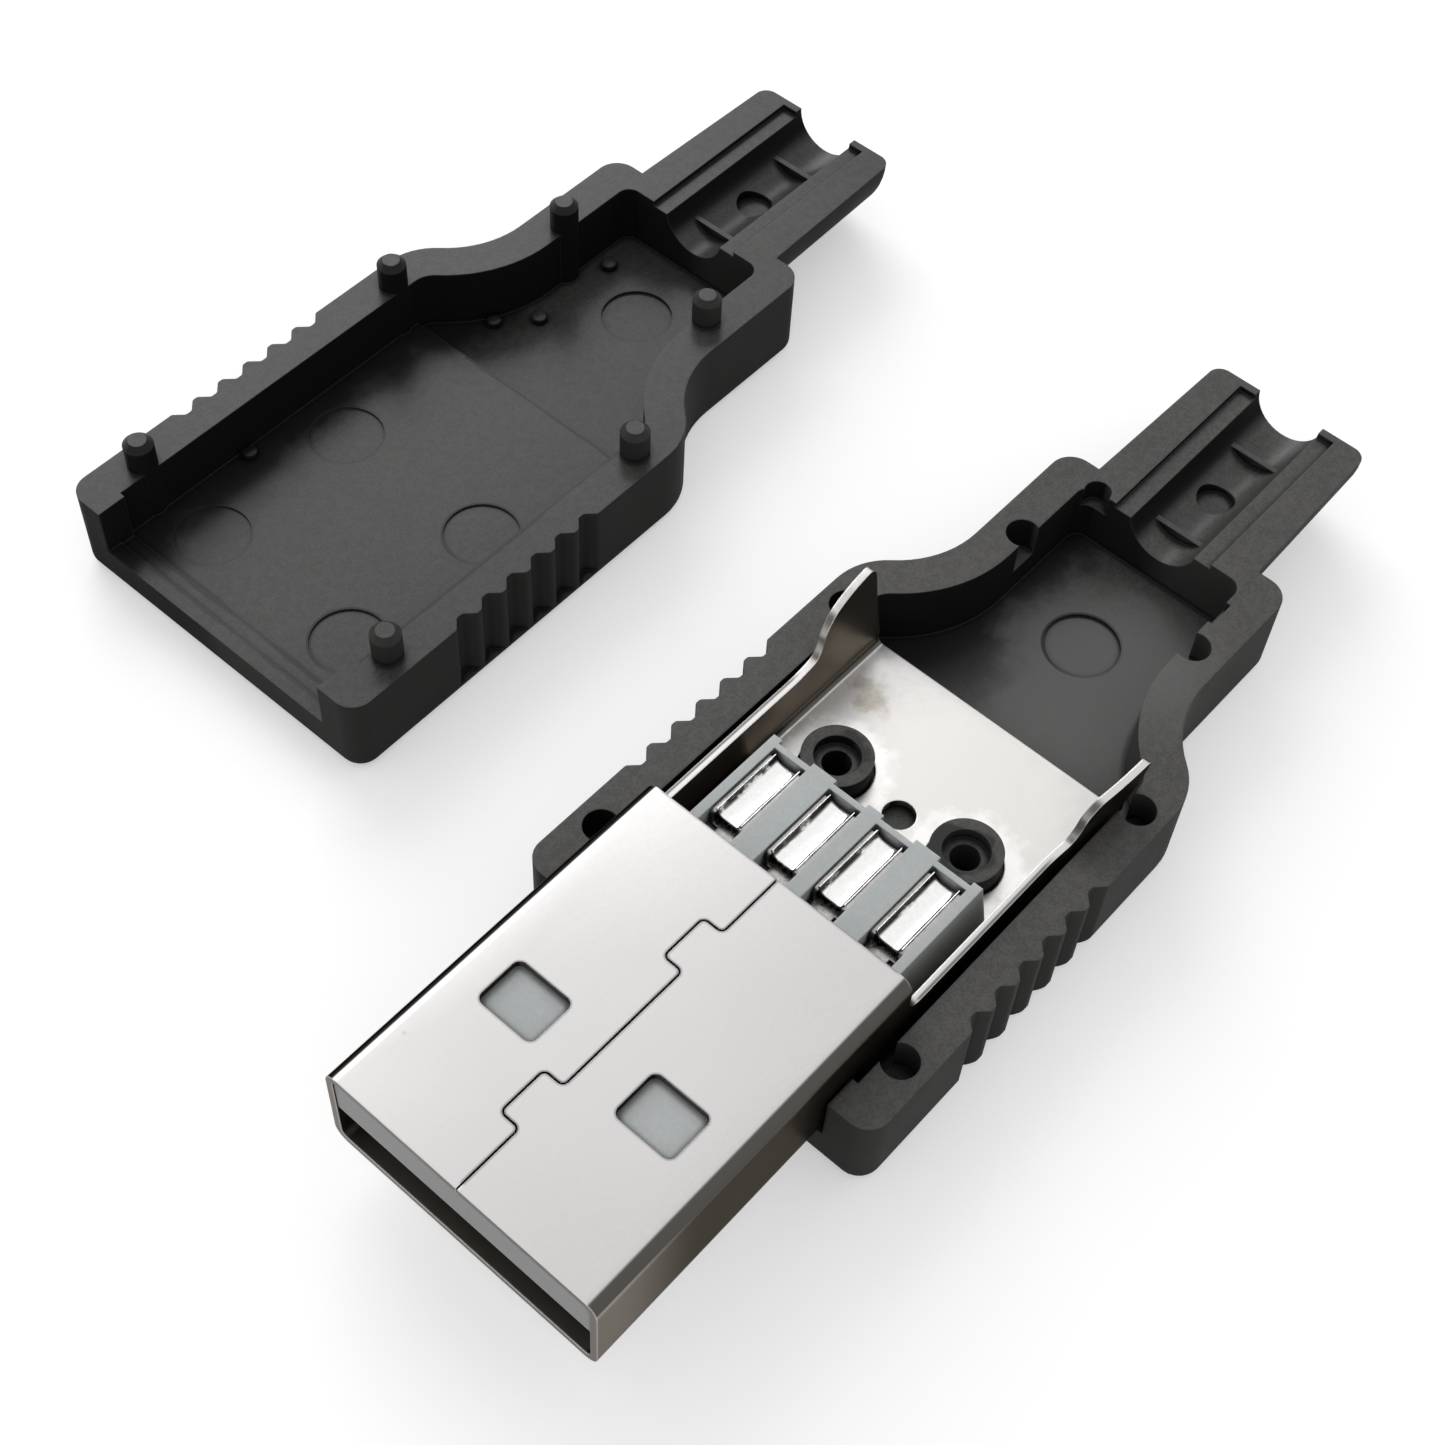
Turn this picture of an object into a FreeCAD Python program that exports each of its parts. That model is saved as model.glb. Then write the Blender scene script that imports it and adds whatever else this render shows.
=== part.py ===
import FreeCAD
import Part
import Sketcher
import math
import os

# USB-A plug for soldering, with its two-half housing opened.
# The base half lies inside up with the metal plug seated in it. The cover half is taken off
# and lies inside up beside it. Millimetres, +Z up, +X towards the mouth of the plug.
# The origin is on the flat underside of the base half, at the middle of its wide body.

SIZES = {
    # Housing halves, seen from above
    "body_length": 29.0,
    "front_corner": 0.9,
    "waist_length": 6.1,
    "shoulder_round": 2.8,
    "waist_round": 4.4,
    "waist_half_width": 5.45,
    "waist_corner": 1.0,
    "neck_length": 8.2,
    "neck_lift": 0.1,
    "neck_taper": 0.2,
    "neck_corner": 0.6,
    "edge_round": 0.5,
    # Walls and floors of the halves
    "side_wall": 1.65,
    "tray_side_gap": 0.35,
    "front_wall": 1.3,
    "lip_land": 0.67,
    "lip_step": 0.1,
    "rear_wall": 1.0,
    "cavity_corner": 0.6,
    "floor_thickness": 1.2,
    "floor_drop": 0.2,
    "deep_floor_drop": 0.35,
    "cut_margin": 1.0,
    # Grip grooves
    "grip_start": 5.4,
    "grip_pitch": 1.35,
    "grip_count": 6,
    "grip_root_width": 0.3,
    "grip_depth": 0.4,
    "grip_round": 0.18,
    "cover_grip_foot": 0.5,
    # Locating pins of the cover and their holes in the base
    "pin_radius": 0.62,
    "pin_rise": 1.4,
    "pin_tip_cut": 0.25,
    "pin_clearance": 0.08,
    "pin_end_gap": 0.2,
    "pin_from_side": 1.13,
    "front_pin_back": 2.9,
    "middle_pin_from_shoulder": 0.75,
    "rear_pin_from_rear": 4.8,
    "rear_pin_from_side": 1.37,
    # Cable channel in the neck
    "channel_radius": 1.55,
    "ledge_half_width": 2.3,
    "ledge_drop": 0.25,
    "ledge_end_gap": 0.35,
    "rib_root": 0.1,
    "rib_drop": 1.1,
    "rib_thickness": 0.25,
    "inner_rib_from_end": 7.7,
    "outer_rib_from_end": 2.3,
    "channel_spot_radius": 0.8,
    "channel_spot_from_end": 5.0,
    "channel_spot_depth": 0.3,
    # Marks on the floors and the rim
    "disc_radius": 1.55,
    "base_disc_from_rear": 5.65,
    "cover_disc_from_rear": 4.6,
    "disc_depth": 0.12,
    "mark_radius": 1.57,
    "mark_depth": 0.08,
    "mark_from_middle": 3.9,
    "front_mark_back": 3.45,
    "mark_spacing": 7.35,
    "root_notch_radius": 0.55,
    "root_notch_inset": 0.6,
    "root_notch_depth": 1.0,
    "rim_slot_length": 1.25,
    "rim_slot_width": 0.4,
    "rim_slot_depth": 0.5,
    "rim_slot_from_rear": 2.15,
    # Metal plug
    "plug_width": 12.0,
    "plug_height": 4.5,
    "plug_reach": 11.0,
    "sheet": 0.3,
    "sheet_bend": 0.6,
    "tray_end_gap": 0.0,
    "tray_wall_height": 2.6,
    "tray_notch_round": 0.7,
    "wing_drop": 0.05,
    "wing_length": 2.1,
    "wing_corner": 0.35,
    "plug_clearance": 0.1,
    # Windows and seam of the metal plug
    "window_back": 5.15,
    "window_length": 2.05,
    "window_from_middle": 1.8,
    "window_width": 2.5,
    "window_corner": 0.3,
    "seam_gap": 0.07,
    "seam_bend": 0.22,
    "seam_tab_depth": 0.85,
    "seam_tab_length": 2.0,
    "seam_tab_back": 2.8,
    "seam_second_from_step": 4.85,
    # Hollow posts of the base that come up through the tray
    "post_from_tray_end": 5.75,
    "post_from_middle": 3.05,
    "post_radius": 1.4,
    "post_rise": 0.85,
    "post_bore_radius": 0.58,
    "post_bore_depth": 2.2,
    "post_sink_radius": 0.92,
    "post_sink_depth": 0.5,
    "post_foot_ring": 0.4,
    "post_clearance": 0.1,
    "tray_hole_radius": 0.65,
    # Contact carrier
    "tongue_start": 0.05,
    "tongue_thickness": 1.95,
    "tongue_nose": 0.1,
    "carrier_side_gap": 0.05,
    "block_in_tube": 4.35,
    "block_hidden": 0.15,
    "block_length": 5.65,
    "block_post_gap": 0.25,
    "block_height": 2.2,
    "block_half_width": 4.85,
    "block_foot_half_width": 5.3,
    "trough_rear_recess": 0.2,
    "trough_rear_wall": 0.25,
    "trough_wall": 0.75,
    # Contacts
    "contact_thickness": 0.2,
    "contact_width": 1.0,
    "contact_embed": 0.12,
    "outer_contact_start": 1.9,
    "inner_contact_start": 2.9,
    "outer_contact_from_middle": 3.5,
    "inner_contact_from_middle": 1.0,
    "outer_cup_from_middle": 3.7,
    "inner_cup_from_middle": 1.1,
    "cup_width": 1.5,
    "cup_floor_height": 1.5,
    "cup_wall_height": 0.85,
    "cup_rear_gap": 0.03,
    "cup_from_step": 1.6,
    "cup_corner": 0.3,
    "jog_from_cup": 2.8,
    "jog_length": 1.2,
    # Place of the cover beside the base
    "cover_aside": 24.92,
    "cover_back": 0.09,
    "cover_turn": 0.52,
}


class Size:
    """A number from the sheet together with the formula that reads it there."""

    def __init__(self, value, formula):
        self.value = float(value)
        self.formula = formula

    @staticmethod
    def of(other):
        if isinstance(other, Size):
            return other
        return Size(other, "(%r)" % float(other))

    def __add__(self, other):
        other = Size.of(other)
        return Size(self.value + other.value, "(%s + %s)" % (self.formula, other.formula))

    def __sub__(self, other):
        other = Size.of(other)
        return Size(self.value - other.value, "(%s - %s)" % (self.formula, other.formula))

    def __mul__(self, other):
        other = Size.of(other)
        return Size(self.value * other.value, "(%s * %s)" % (self.formula, other.formula))

    def __truediv__(self, other):
        other = Size.of(other)
        return Size(self.value / other.value, "(%s / %s)" % (self.formula, other.formula))

    def __radd__(self, other):
        return Size.of(other) + self

    def __rsub__(self, other):
        return Size.of(other) - self

    def __rmul__(self, other):
        return Size.of(other) * self

    def __neg__(self):
        return Size(-self.value, "(0 - %s)" % self.formula)

    def root(self):
        """Return the square root."""
        return Size(math.sqrt(self.value), "sqrt(%s)" % self.formula)


doc = FreeCAD.newDocument("usb_a_plug")
sheet = doc.addObject("Spreadsheet::Sheet", "sizes")
for row, (name, number) in enumerate(SIZES.items(), start=1):
    sheet.set("A%d" % row, name)
    sheet.set("B%d" % row, str(number))
    sheet.setAlias("B%d" % row, name)
doc.recompute()


def size(name):
    """Read one named size from the sheet."""
    return Size(sheet.get(name), "sizes.%s" % name)


# Places that several pieces share
margin = size("cut_margin")
front_x = size("body_length") / 2
waist_rear_x = -front_x
neck_end_x = waist_rear_x - size("neck_length")
mouth_x = front_x + size("plug_reach")
deep_floor_z = size("floor_thickness")
front_floor_z = deep_floor_z + size("deep_floor_drop")
plug_floor_z = front_floor_z + size("floor_drop")
rim_z = plug_floor_z + size("plug_height") / 2
plug_top_z = plug_floor_z + size("plug_height")
tray_z = plug_floor_z + size("sheet")
plug_half_width = size("plug_width") / 2
body_half_width = plug_half_width + size("tray_side_gap") + size("side_wall")
shoulder_reach = size("shoulder_round") + size("waist_round")
shoulder_cosine = 1 - (body_half_width - size("waist_half_width")) / shoulder_reach
shoulder_sine = (1 - shoulder_cosine * shoulder_cosine).root()
shoulder_end_x = waist_rear_x + size("waist_length")
shoulder_x = shoulder_end_x + shoulder_reach * shoulder_sine
shield_end_x = shoulder_x + size("tray_end_gap")
post_x = shield_end_x + size("post_from_tray_end")
post_top_z = tray_z + size("post_rise")
block_rear_x = post_x + size("post_radius") + size("block_post_gap")
tube_end_x = block_rear_x + size("block_length")
block_end_x = tube_end_x + size("block_hidden")
cup_front_x = tube_end_x - size("cup_from_step")
trough_rear_x = block_rear_x + size("trough_rear_recess") + size("trough_rear_wall")
cup_rear_x = trough_rear_x + size("cup_rear_gap")
side_pin_y = body_half_width - size("pin_from_side")
rear_pin_y = size("waist_half_width") - size("rear_pin_from_side")
pin_places = (
    (front_x - size("front_pin_back"), side_pin_y),
    (shoulder_x + size("middle_pin_from_shoulder"), side_pin_y),
    (waist_rear_x + size("rear_pin_from_rear"), rear_pin_y),
)


def bind(feature, place, value):
    """Tie a property of a feature to the sheet."""
    feature.setExpression(place, Size.of(value).formula)


def new_body(label):
    """Start one piece."""
    body = doc.addObject("PartDesign::Body", label)
    body.Label = label
    return body


def sketch_on(body, name, role, level=None):
    """Start a sketch on one of the body's own planes, moved along its normal to a level."""
    sketch = body.newObject("Sketcher::SketchObject", name)
    plane = [part for part in body.Origin.OriginFeatures if part.Role == role][0]
    sketch.AttachmentSupport = [(plane, "")]
    sketch.MapMode = "FlatFace"
    if level is not None:
        level = Size.of(level)
        sketch.AttachmentOffset = FreeCAD.Placement(
            FreeCAD.Vector(0, 0, level.value), FreeCAD.Rotation()
        )
        bind(sketch, ".AttachmentOffset.Base.z", level)
    return sketch


def tie_point(sketch, index, end, across, along):
    """Hold one end of an edge at its place."""
    for kind, axis, value in (("DistanceX", -2, across), ("DistanceY", -1, along)):
        if abs(value.value) < 1e-9:
            sketch.addConstraint(Sketcher.Constraint("PointOnObject", index, end, axis))
            continue
        number = sketch.addConstraint(Sketcher.Constraint(kind, index, end, value.value))
        bind(sketch, "Constraints[%d]" % number, value)


def arc_between(start, end, radius):
    """Return the short arc from start to end that turns left (right for a negative radius)."""
    chord = end - start
    reach = math.sqrt(max(radius * radius - chord.Length ** 2 / 4, 0.0))
    normal = FreeCAD.Vector(-chord.y, chord.x, 0)
    normal.normalize()
    side = 1 if radius > 0 else -1
    centre = (start + end) / 2 + normal * (reach * side)
    circle = Part.Circle(centre, FreeCAD.Vector(0, 0, 1), abs(radius))
    first, last = (start, end) if radius > 0 else (end, start)
    low = math.atan2(first.y - centre.y, first.x - centre.x)
    high = math.atan2(last.y - centre.y, last.x - centre.x)
    if high < low:
        high += 2 * math.pi
    return Part.ArcOfCircle(circle, low, high)


def draw_outline(sketch, corners):
    """Draw a closed outline, each corner held by the sheet.

    A corner is (across, along) or (across, along, radius), where the radius is that of the
    arc that arrives at the corner, negative where the arc turns right.
    """
    corners = [tuple(Size.of(value) for value in corner) for corner in corners]
    first = sketch.GeometryCount
    ends = []
    for here, after in zip(corners, corners[1:] + corners[:1]):
        start = FreeCAD.Vector(here[0].value, here[1].value, 0)
        end = FreeCAD.Vector(after[0].value, after[1].value, 0)
        if len(after) == 3:
            sketch.addGeometry(arc_between(start, end, after[2].value), False)
            ends.append((1, 2) if after[2].value > 0 else (2, 1))
        else:
            sketch.addGeometry(Part.LineSegment(start, end), False)
            ends.append((1, 2))
    count = len(corners)
    for place in range(count):
        other = (place + 1) % count
        sketch.addConstraint(
            Sketcher.Constraint(
                "Coincident", first + place, ends[place][1], first + other, ends[other][0]
            )
        )
    for place, corner in enumerate(corners):
        tie_point(sketch, first + place, ends[place][0], corner[0], corner[1])
        after = corners[(place + 1) % count]
        if len(after) == 3:
            radius = after[2] if after[2].value > 0 else -after[2]
            number = sketch.addConstraint(
                Sketcher.Constraint("Radius", first + place, radius.value)
            )
            bind(sketch, "Constraints[%d]" % number, radius)


def draw_box(sketch, low_across, high_across, low_along, high_along):
    """Draw a rectangle."""
    draw_outline(
        sketch,
        [
            (low_across, low_along),
            (high_across, low_along),
            (high_across, high_along),
            (low_across, high_along),
        ],
    )


def draw_rounded_box(sketch, low_across, high_across, low_along, high_along, corner):
    """Draw a rectangle with rounded corners."""
    draw_outline(
        sketch,
        [
            (low_across + corner, low_along, corner),
            (high_across - corner, low_along),
            (high_across, low_along + corner, corner),
            (high_across, high_along - corner),
            (high_across - corner, high_along, corner),
            (low_across + corner, high_along),
            (low_across, high_along - corner, corner),
            (low_across, low_along + corner),
        ],
    )


def draw_circle(sketch, across, along, radius):
    """Draw a circle."""
    across, along, radius = Size.of(across), Size.of(along), Size.of(radius)
    centre = FreeCAD.Vector(across.value, along.value, 0)
    index = sketch.addGeometry(
        Part.Circle(centre, FreeCAD.Vector(0, 0, 1), radius.value), False
    )
    tie_point(sketch, index, 3, across, along)
    number = sketch.addConstraint(Sketcher.Constraint("Radius", index, radius.value))
    bind(sketch, "Constraints[%d]" % number, radius)


def add(body, sketch, length, both_ways=False):
    """Pad a sketch along its plane's normal, or evenly to both sides of it."""
    pad = body.newObject("PartDesign::Pad", sketch.Name + "_pad")
    pad.Profile = sketch
    pad.Length = Size.of(length).value
    bind(pad, "Length", length)
    pad.Midplane = both_ways
    doc.recompute()
    return pad


def cut(body, sketch, depth=None, both_ways=False, reverse=False):
    """Pocket a sketch to a depth, or right through, and make sure that it removes something."""
    before = body.Shape.Volume
    pocket = body.newObject("PartDesign::Pocket", sketch.Name + "_cut")
    pocket.Profile = sketch
    pocket.Midplane = both_ways
    pocket.Reversed = reverse
    if depth is None:
        pocket.Type = "ThroughAll"
    else:
        pocket.Length = Size.of(depth).value
        bind(pocket, "Length", depth)
    doc.recompute()
    if body.Shape.Volume > before - 1e-6:
        raise RuntimeError("%s removes nothing" % pocket.Name)
    return pocket


def round_edges(body, base, radius, wanted):
    """Round the edges of the last feature that a test picks out."""
    names = [
        "Edge%d" % number
        for number, edge in enumerate(base.Shape.Edges, start=1)
        if wanted(edge)
    ]
    fillet = body.newObject("PartDesign::Fillet", base.Name + "_round")
    fillet.Base = (base, names)
    fillet.Radius = Size.of(radius).value
    bind(fillet, "Radius", radius)
    doc.recompute()
    return fillet


def shell_side(inset):
    """Return the corners of one long side of a half, front to waist, moved in by a wall.

    The shoulder is two arcs that meet smoothly. Their turn follows from how far the waist is
    drawn in and from their two radii, and a wall inside the outline keeps their centres.
    """
    inner = size("shoulder_round") - inset
    middle_x = shoulder_x - inner * shoulder_sine
    middle_y = body_half_width - size("shoulder_round") + inner * shoulder_cosine
    return [
        (shoulder_x, body_half_width - inset),
        (middle_x, middle_y, inner),
        (shoulder_end_x, size("waist_half_width") - inset, -(size("waist_round") + inset)),
    ]


def mirrored(corners):
    """Return a side's corners on the other side, in the order that closes the outline."""
    turned = []
    for place in range(len(corners) - 1, -1, -1):
        across, along = corners[place][0], corners[place][1]
        after = corners[place + 1] if place + 1 < len(corners) else None
        if after is not None and len(after) == 3:
            turned.append((across, -Size.of(along), after[2]))
        else:
            turned.append((across, -Size.of(along)))
    return turned


def shell_outline():
    """Return the corners of a half's outer outline, without the neck."""
    corner = size("front_corner")
    half = body_half_width
    waist = size("waist_half_width")
    waist_corner = size("waist_corner")
    side = [
        (front_x, half - corner),
        (front_x - corner, half, corner),
    ]
    side += shell_side(Size.of(0))
    side += [
        (waist_rear_x + waist_corner, waist),
        (waist_rear_x, waist - waist_corner, waist_corner),
    ]
    return side + mirrored(side)


def cavity_outline(front=None):
    """Return the corners of the hollow inside a half, or of its part behind the shoulder."""
    wall = size("side_wall")
    corner = size("cavity_corner")
    rear_x = waist_rear_x + size("rear_wall")
    side = [] if front is None else [(front, body_half_width - wall)]
    side += shell_side(wall)
    side += [
        (rear_x + corner, size("waist_half_width") - wall),
        (rear_x, size("waist_half_width") - wall - corner, corner),
    ]
    return side + mirrored(side)


def groove_outline(start_x, sign):
    """Return the corners of one grip groove: sloping flanks, rounded lands and root."""
    bend = size("grip_round")
    reach = bend * math.tan(math.pi / 8)
    slant = reach * math.sqrt(0.5)
    depth = size("grip_depth")
    top = body_half_width
    root = top - depth
    first_root_x = start_x - depth
    second_root_x = first_root_x - size("grip_root_width")
    end_x = second_root_x - depth
    corners = [
        (start_x + reach, top + margin),
        (start_x + reach, top),
        (start_x - slant, top - slant, bend),
        (first_root_x + slant, root + slant),
        (first_root_x - reach, root, -bend),
        (second_root_x + reach, root),
        (second_root_x - slant, root + slant, -bend),
        (end_x + slant, top - slant),
        (end_x - reach, top, bend),
        (end_x - reach, top + margin),
    ]
    if sign > 0:
        return corners
    return [
        (corner[0], -corner[1]) + tuple(-bend_size for bend_size in corner[2:])
        for corner in corners
    ]


def add_neck(body):
    """Turn the neck's half-round outside, which narrows a little towards its end."""
    root = rim_z - size("neck_lift")
    end = root - size("neck_taper")
    corner = size("neck_corner")
    root_x = waist_rear_x + size("rear_wall")
    side = sketch_on(body, "neck_side", "XY_Plane", rim_z)
    draw_outline(
        side,
        [
            (neck_end_x, 0),
            (root_x, 0),
            (root_x, root),
            (neck_end_x + corner, end),
            (neck_end_x, end - corner, corner),
        ],
    )
    turned = body.newObject("PartDesign::Revolution", "neck")
    turned.Profile = side
    turned.ReferenceAxis = (side, ["H_Axis"])
    turned.Angle = 180
    turned.Reversed = True
    doc.recompute()


def add_shell(body, grip_depth_down, disc_x):
    """Build what both halves share: outline, hollow, front opening, grip and neck."""
    plan = sketch_on(body, "plan", "XY_Plane")
    draw_outline(plan, shell_outline())
    block = add(body, plan, rim_z)
    round_edges(
        body,
        block,
        size("edge_round"),
        lambda edge: edge.BoundBox.ZMax < 1e-6,
    )
    add_neck(body)
    grip = sketch_on(body, "grip", "XY_Plane", rim_z)
    for sign in (1, -1):
        draw_outline(grip, groove_outline(front_x - size("grip_start"), sign))
    first_groove = cut(body, grip, grip_depth_down)
    pattern = body.newObject("PartDesign::LinearPattern", "grip_row")
    pattern.Originals = [first_groove]
    axis = [part for part in body.Origin.OriginFeatures if part.Role == "X_Axis"][0]
    pattern.Direction = (axis, [""])
    pattern.Reversed = True
    span = size("grip_pitch") * (size("grip_count") - 1)
    pattern.Length = span.value
    bind(pattern, "Length", span)
    pattern.Occurrences = int(size("grip_count").value)
    bind(pattern, "Occurrences", size("grip_count"))
    body.Tip = pattern
    doc.recompute()
    hollow = sketch_on(body, "hollow", "XY_Plane", rim_z)
    draw_outline(hollow, cavity_outline(front_x - size("front_wall")))
    cut(body, hollow, rim_z - front_floor_z)
    deep = sketch_on(body, "deep_hollow", "XY_Plane", rim_z)
    draw_outline(deep, cavity_outline())
    cut(body, deep, rim_z - deep_floor_z)
    opening_half = plug_half_width + size("plug_clearance")
    wall_x = front_x - size("front_wall")
    opening = sketch_on(body, "front_opening", "XY_Plane", rim_z)
    draw_box(opening, wall_x, front_x + margin, -opening_half, opening_half)
    cut(body, opening, rim_z - plug_floor_z)
    step = sketch_on(body, "front_lip_step", "XY_Plane", plug_floor_z)
    draw_box(step, wall_x, front_x - size("lip_land"), -opening_half, opening_half)
    cut(body, step, size("lip_step"))
    rear_x = waist_rear_x + size("rear_wall")
    ledge = sketch_on(body, "neck_ledge", "XY_Plane", rim_z)
    ledge_half = size("ledge_half_width")
    draw_box(ledge, neck_end_x + size("ledge_end_gap"), rear_x, -ledge_half, ledge_half)
    cut(body, ledge, size("ledge_drop"))
    channel = sketch_on(body, "channel", "YZ_Plane", neck_end_x - margin)
    draw_circle(channel, 0, rim_z, size("channel_radius"))
    cut(body, channel, rear_x - neck_end_x + margin + margin, reverse=True)
    spot = sketch_on(body, "channel_spot", "XY_Plane", rim_z)
    draw_circle(spot, neck_end_x + size("channel_spot_from_end"), 0, size("channel_spot_radius"))
    cut(body, spot, size("channel_radius") + size("channel_spot_depth"))
    add_channel_rib(body, "inner_rib", neck_end_x + size("inner_rib_from_end"))
    add_channel_rib(body, "outer_rib", neck_end_x + size("outer_rib_from_end"))
    disc = sketch_on(body, "floor_disc", "XY_Plane", deep_floor_z)
    draw_circle(disc, disc_x, 0, size("disc_radius"))
    cut(body, disc, size("disc_depth"))


def add_channel_rib(body, name, centre_x):
    """Stand a thin straight-topped rib across the channel, as grips the cable's jacket."""
    outer = size("channel_radius") + size("rib_root")
    drop = size("rib_drop")
    half = (outer * outer - drop * drop).root()
    top_z = rim_z - drop
    rib = sketch_on(body, name, "YZ_Plane", centre_x - size("rib_thickness") / 2)
    draw_outline(
        rib,
        [
            (-half, top_z),
            (0, rim_z - outer, outer),
            (half, top_z, outer),
        ],
    )
    add(body, rib, size("rib_thickness"))


def make_base_shell():
    """Build the base half with its pin holes and the two hollow posts."""
    body = new_body("base_shell")
    add_shell(body, None, waist_rear_x + size("base_disc_from_rear"))
    holes = sketch_on(body, "pin_holes", "XY_Plane", rim_z)
    for place_x, place_y in pin_places:
        for sign in (1, -1):
            draw_circle(holes, place_x, sign * place_y, size("pin_radius") + size("pin_clearance"))
    cut(body, holes, size("pin_rise") + size("pin_end_gap"))
    notch = sketch_on(body, "root_notch", "XY_Plane", rim_z)
    inner_rear_x = waist_rear_x + size("rear_wall")
    inner_waist_y = size("waist_half_width") - size("side_wall")
    notch_inset = size("root_notch_inset")
    draw_circle(
        notch, inner_rear_x, notch_inset - inner_waist_y, size("root_notch_radius")
    )
    cut(body, notch, size("root_notch_depth"))
    slot = sketch_on(body, "rim_slot", "XY_Plane", rim_z)
    slot_x = waist_rear_x + size("rim_slot_from_rear")
    draw_box(
        slot,
        slot_x,
        slot_x + size("rim_slot_length"),
        inner_waist_y - size("rim_slot_width") / 2,
        inner_waist_y + size("rim_slot_width") / 2,
    )
    cut(body, slot, size("rim_slot_depth"))
    foot = sketch_on(body, "post_feet", "XY_Plane", front_floor_z)
    posts = sketch_on(body, "posts", "XY_Plane", plug_floor_z)
    sinks = sketch_on(body, "post_sinks", "XY_Plane", post_top_z)
    bores = sketch_on(body, "post_bores", "XY_Plane", post_top_z)
    for sign in (1, -1):
        place_y = sign * size("post_from_middle")
        draw_circle(foot, post_x, place_y, size("post_radius") + size("post_foot_ring"))
        draw_circle(posts, post_x, place_y, size("post_radius"))
        draw_circle(sinks, post_x, place_y, size("post_sink_radius"))
        draw_circle(bores, post_x, place_y, size("post_bore_radius"))
    add(body, foot, size("floor_drop"))
    add(body, posts, post_top_z - plug_floor_z)
    cut(body, sinks, size("post_sink_depth"))
    cut(body, bores, size("post_bore_depth"))
    return body


def make_cover_shell():
    """Build the cover half with its six locating pins, laid beside the base."""
    body = new_body("cover_shell")
    disc_x = waist_rear_x + size("cover_disc_from_rear")
    add_shell(body, rim_z - size("cover_grip_foot"), disc_x)
    marks = sketch_on(body, "floor_marks", "XY_Plane", front_floor_z)
    mark_x = front_x - size("front_mark_back")
    for sign in (1, -1):
        mark_y = sign * size("mark_from_middle")
        draw_circle(marks, mark_x, mark_y, size("mark_radius"))
        draw_circle(marks, mark_x - size("mark_spacing"), mark_y, size("mark_radius"))
    cut(body, marks, size("mark_depth"))
    pins = sketch_on(body, "pins", "XY_Plane", deep_floor_z)
    for place_x, place_y in pin_places:
        for sign in (1, -1):
            draw_circle(pins, place_x, sign * place_y, size("pin_radius"))
    pad = add(body, pins, rim_z + size("pin_rise") - deep_floor_z)
    tip_z = (rim_z + size("pin_rise")).value
    tips = [
        "Edge%d" % number
        for number, edge in enumerate(pad.Shape.Edges, start=1)
        if edge.BoundBox.ZMin > tip_z - 1e-6
    ]
    taper = body.newObject("PartDesign::Chamfer", "pin_tips")
    taper.Base = (pad, tips)
    taper.Size = size("pin_tip_cut").value
    bind(taper, "Size", size("pin_tip_cut"))
    doc.recompute()
    place = FreeCAD.Placement(
        FreeCAD.Vector(-size("cover_back").value, -size("cover_aside").value, 0),
        FreeCAD.Rotation(FreeCAD.Vector(0, 0, 1), size("cover_turn").value),
    )
    body.Placement = place
    bind(body, ".Placement.Base.x", -size("cover_back"))
    bind(body, ".Placement.Base.y", -size("cover_aside"))
    bind(body, ".Placement.Rotation.Angle", size("cover_turn"))
    return body


def seam_outline(path, bend, gap):
    """Return the outline of a narrow slot along a path of square turns with rounded bends."""
    steps = []
    for here, after in zip(path, path[1:]):
        across = after[0].value - here[0].value
        along = after[1].value - here[1].value
        length = math.hypot(across, along)
        steps.append((round(across / length), round(along / length)))
    half = gap / 2

    def moved(point, step, back, side):
        """Shift a point back along a step and out to one side of it."""
        return (
            point[0] - back * step[0] - half * (side * step[1]),
            point[1] - back * step[1] + half * (side * step[0]),
        )

    def one_side(side):
        """Return the corners of one edge of the slot, in the path's order."""
        corners = [moved(path[0], steps[0], Size.of(0), side)]
        for number in range(1, len(path) - 1):
            before, after = steps[number - 1], steps[number]
            turn = before[0] * after[1] - before[1] * after[0]
            arrive = moved(path[number], before, bend, side)
            leave = moved(path[number], after, -bend, side)
            corners.append(arrive)
            corners.append(leave + (turn * (bend - half * (side * turn)),))
        corners.append(moved(path[-1], steps[-1], Size.of(0), side))
        return corners

    right = one_side(-1)
    left = one_side(1)
    back = []
    for place in range(len(left) - 1, -1, -1):
        after = left[place + 1] if place + 1 < len(left) else None
        corner = left[place][:2]
        if after is not None and len(after) == 3:
            corner = corner + (-after[2],)
        back.append(corner)
    return right + back


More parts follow.
